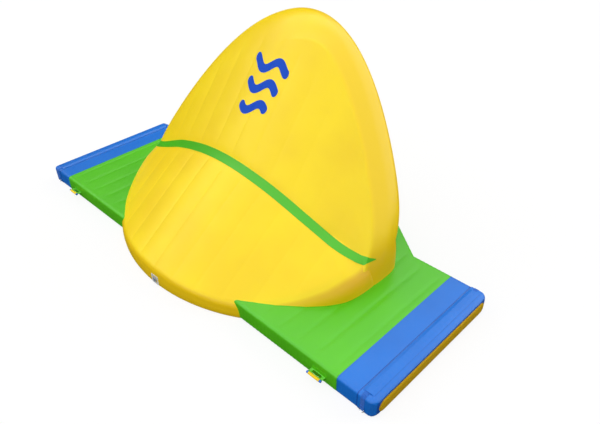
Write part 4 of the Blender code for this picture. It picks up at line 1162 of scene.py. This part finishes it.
for joint in frame["joints"]:
    if not joint["name"].endswith("_valve_cap_turn"):
        continue
    label = joint["name"].removesuffix("_cap_turn")
    outward = Vector(joint["axis"]).normalized()
    turn = np.array(outward.to_track_quat("Z", "X").to_matrix())
    origin = np.array(joint["pos_m"])

    lip_centre = (FLANGE_RADIUS - MOULDED_ROUNDING, FLANGE_THICKNESS - MOULDED_ROUNDING)
    lip = bend(lip_centre, MOULDED_ROUNDING, 0, 90, 6)
    body_profile = np.concatenate([
        [[0.0, -BARREL_DEPTH], [BARREL_RADIUS, -BARREL_DEPTH], [BARREL_RADIUS, GAP], [FLANGE_RADIUS, GAP]],
        lip,
        [
            [FLANGE_RADIUS - 0.008, FLANGE_THICKNESS],
            [FLANGE_RADIUS - 0.009, FLANGE_THICKNESS - FLANGE_GROOVE],
            [FLANGE_RADIUS - 0.012, FLANGE_THICKNESS - FLANGE_GROOVE],
            [FLANGE_RADIUS - 0.013, FLANGE_THICKNESS],
            [COLLAR_RADIUS, FLANGE_THICKNESS], [COLLAR_RADIUS, COLLAR_TOP - 0.001],
            [COLLAR_RADIUS - 0.001, COLLAR_TOP], [BORE_RADIUS + 0.001, COLLAR_TOP],
            [BORE_RADIUS, COLLAR_TOP - 0.001], [BORE_RADIUS, -0.010], [0.0, -0.010],
        ],
    ])
    points = turned(body_profile, sides=96) @ turn.T + origin
    piece(f"{label}_housing", points, valve_plastic, f"{label}_body")

    cap_foot = FLANGE_THICKNESS + 0.0005
    shoulder_centre = (CAP_RADIUS - MOULDED_ROUNDING, CAP_TOP - MOULDED_ROUNDING)
    shoulder = bend(shoulder_centre, MOULDED_ROUNDING, 0, 90, 6)
    top_radii = np.linspace(CAP_RADIUS - 0.0035, 0.0, 34)
    cap_profile = np.concatenate([
        [[0.0, CAP_CEILING], [COLLAR_RADIUS + 0.0004, CAP_CEILING], [COLLAR_RADIUS + 0.0004, cap_foot]],
        [[CAP_RADIUS - 0.0005, cap_foot], [CAP_RADIUS, cap_foot + 0.0005], [CAP_RADIUS, cap_foot + 0.005]],
        shoulder,
        joined(top_radii, np.full_like(top_radii, CAP_TOP)),
    ])
    points = turned(cap_profile, sides=144, flute=0.0011, flutes=36)
    on_top = points[..., 2] > CAP_TOP - 0.0003
    inside = ((np.abs(points[..., :2]) - CAP_BAR_HALF) / CAP_BAR_SLOPE).max(axis=-1)
    points[..., 2] += CAP_BAR_HEIGHT * on_top * np.clip(0.5 - inside * 0.5, 0, 1)
    piece(f"{label}_cover", points @ turn.T + origin, cap_plastic, f"{label}_cap", f"{label}_cap")
    # The plunger is right as it is packed, and only gets its material
    plunger = frame["nodes"][f"{label}_plunger"].data.materials
    plunger.clear()
    plunger.append(valve_plastic[0])

    climb = np.linspace(0, 1, COIL_TURNS * 48 + 1)[:, None]
    wound = climb * COIL_TURNS * math.tau
    wire_turn = np.arange(12) * math.tau / 12
    from_axis = COIL_RADIUS + COIL_WIRE_RADIUS * np.cos(wire_turn)
    lowest = COIL_FOOT + COIL_WIRE_RADIUS + GAP
    highest = COIL_TOP - COIL_WIRE_RADIUS - GAP
    height = lowest + (highest - lowest) * climb + COIL_WIRE_RADIUS * np.sin(wire_turn)
    coil = joined(from_axis * np.cos(wound), from_axis * np.sin(wound), height)
    coil = coil @ turn.T + origin
    spring = piece(f"{label}_coil", coil, (stainless, "spring_steel"), f"{label}_spring", lids=True)
    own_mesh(spring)

ramp_valve = next(j for j in frame["joints"] if j["name"] == "ramp_valve_cap_turn")["pos_m"]
around = np.radians(np.arange(0, 360, 3))
square = squared(joined(np.cos(around), np.sin(around)), 0.25) * DOUBLER_HALF
hole = joined(np.cos(around), np.sin(around)) * (FLANGE_RADIUS - 0.006)
steps = np.array([0.0, 0.35, 0.7, 0.97, 1.0])
front_face = hole + (square - hole) * steps[:, None, None]
patch_x = ramp_valve[0] + front_face[..., 0]
patch_z = ramp_valve[2] + front_face[..., 1]
rim_y = RIM_CENTRE_Y - RIM_HALF_WIDTH * np.sqrt(1 - (patch_x / RIM_HALF_LENGTH) ** 2)
outer = joined(patch_x, rim_y - 0.0075, patch_z)
inner = outer + np.array([0, DOUBLER_THICKNESS + 0.003, 0])
points = np.concatenate([outer, inner[::-1]])
piece("ramp_valve_doubler", np.concatenate([points, points[:1]]), doubler_fabric)
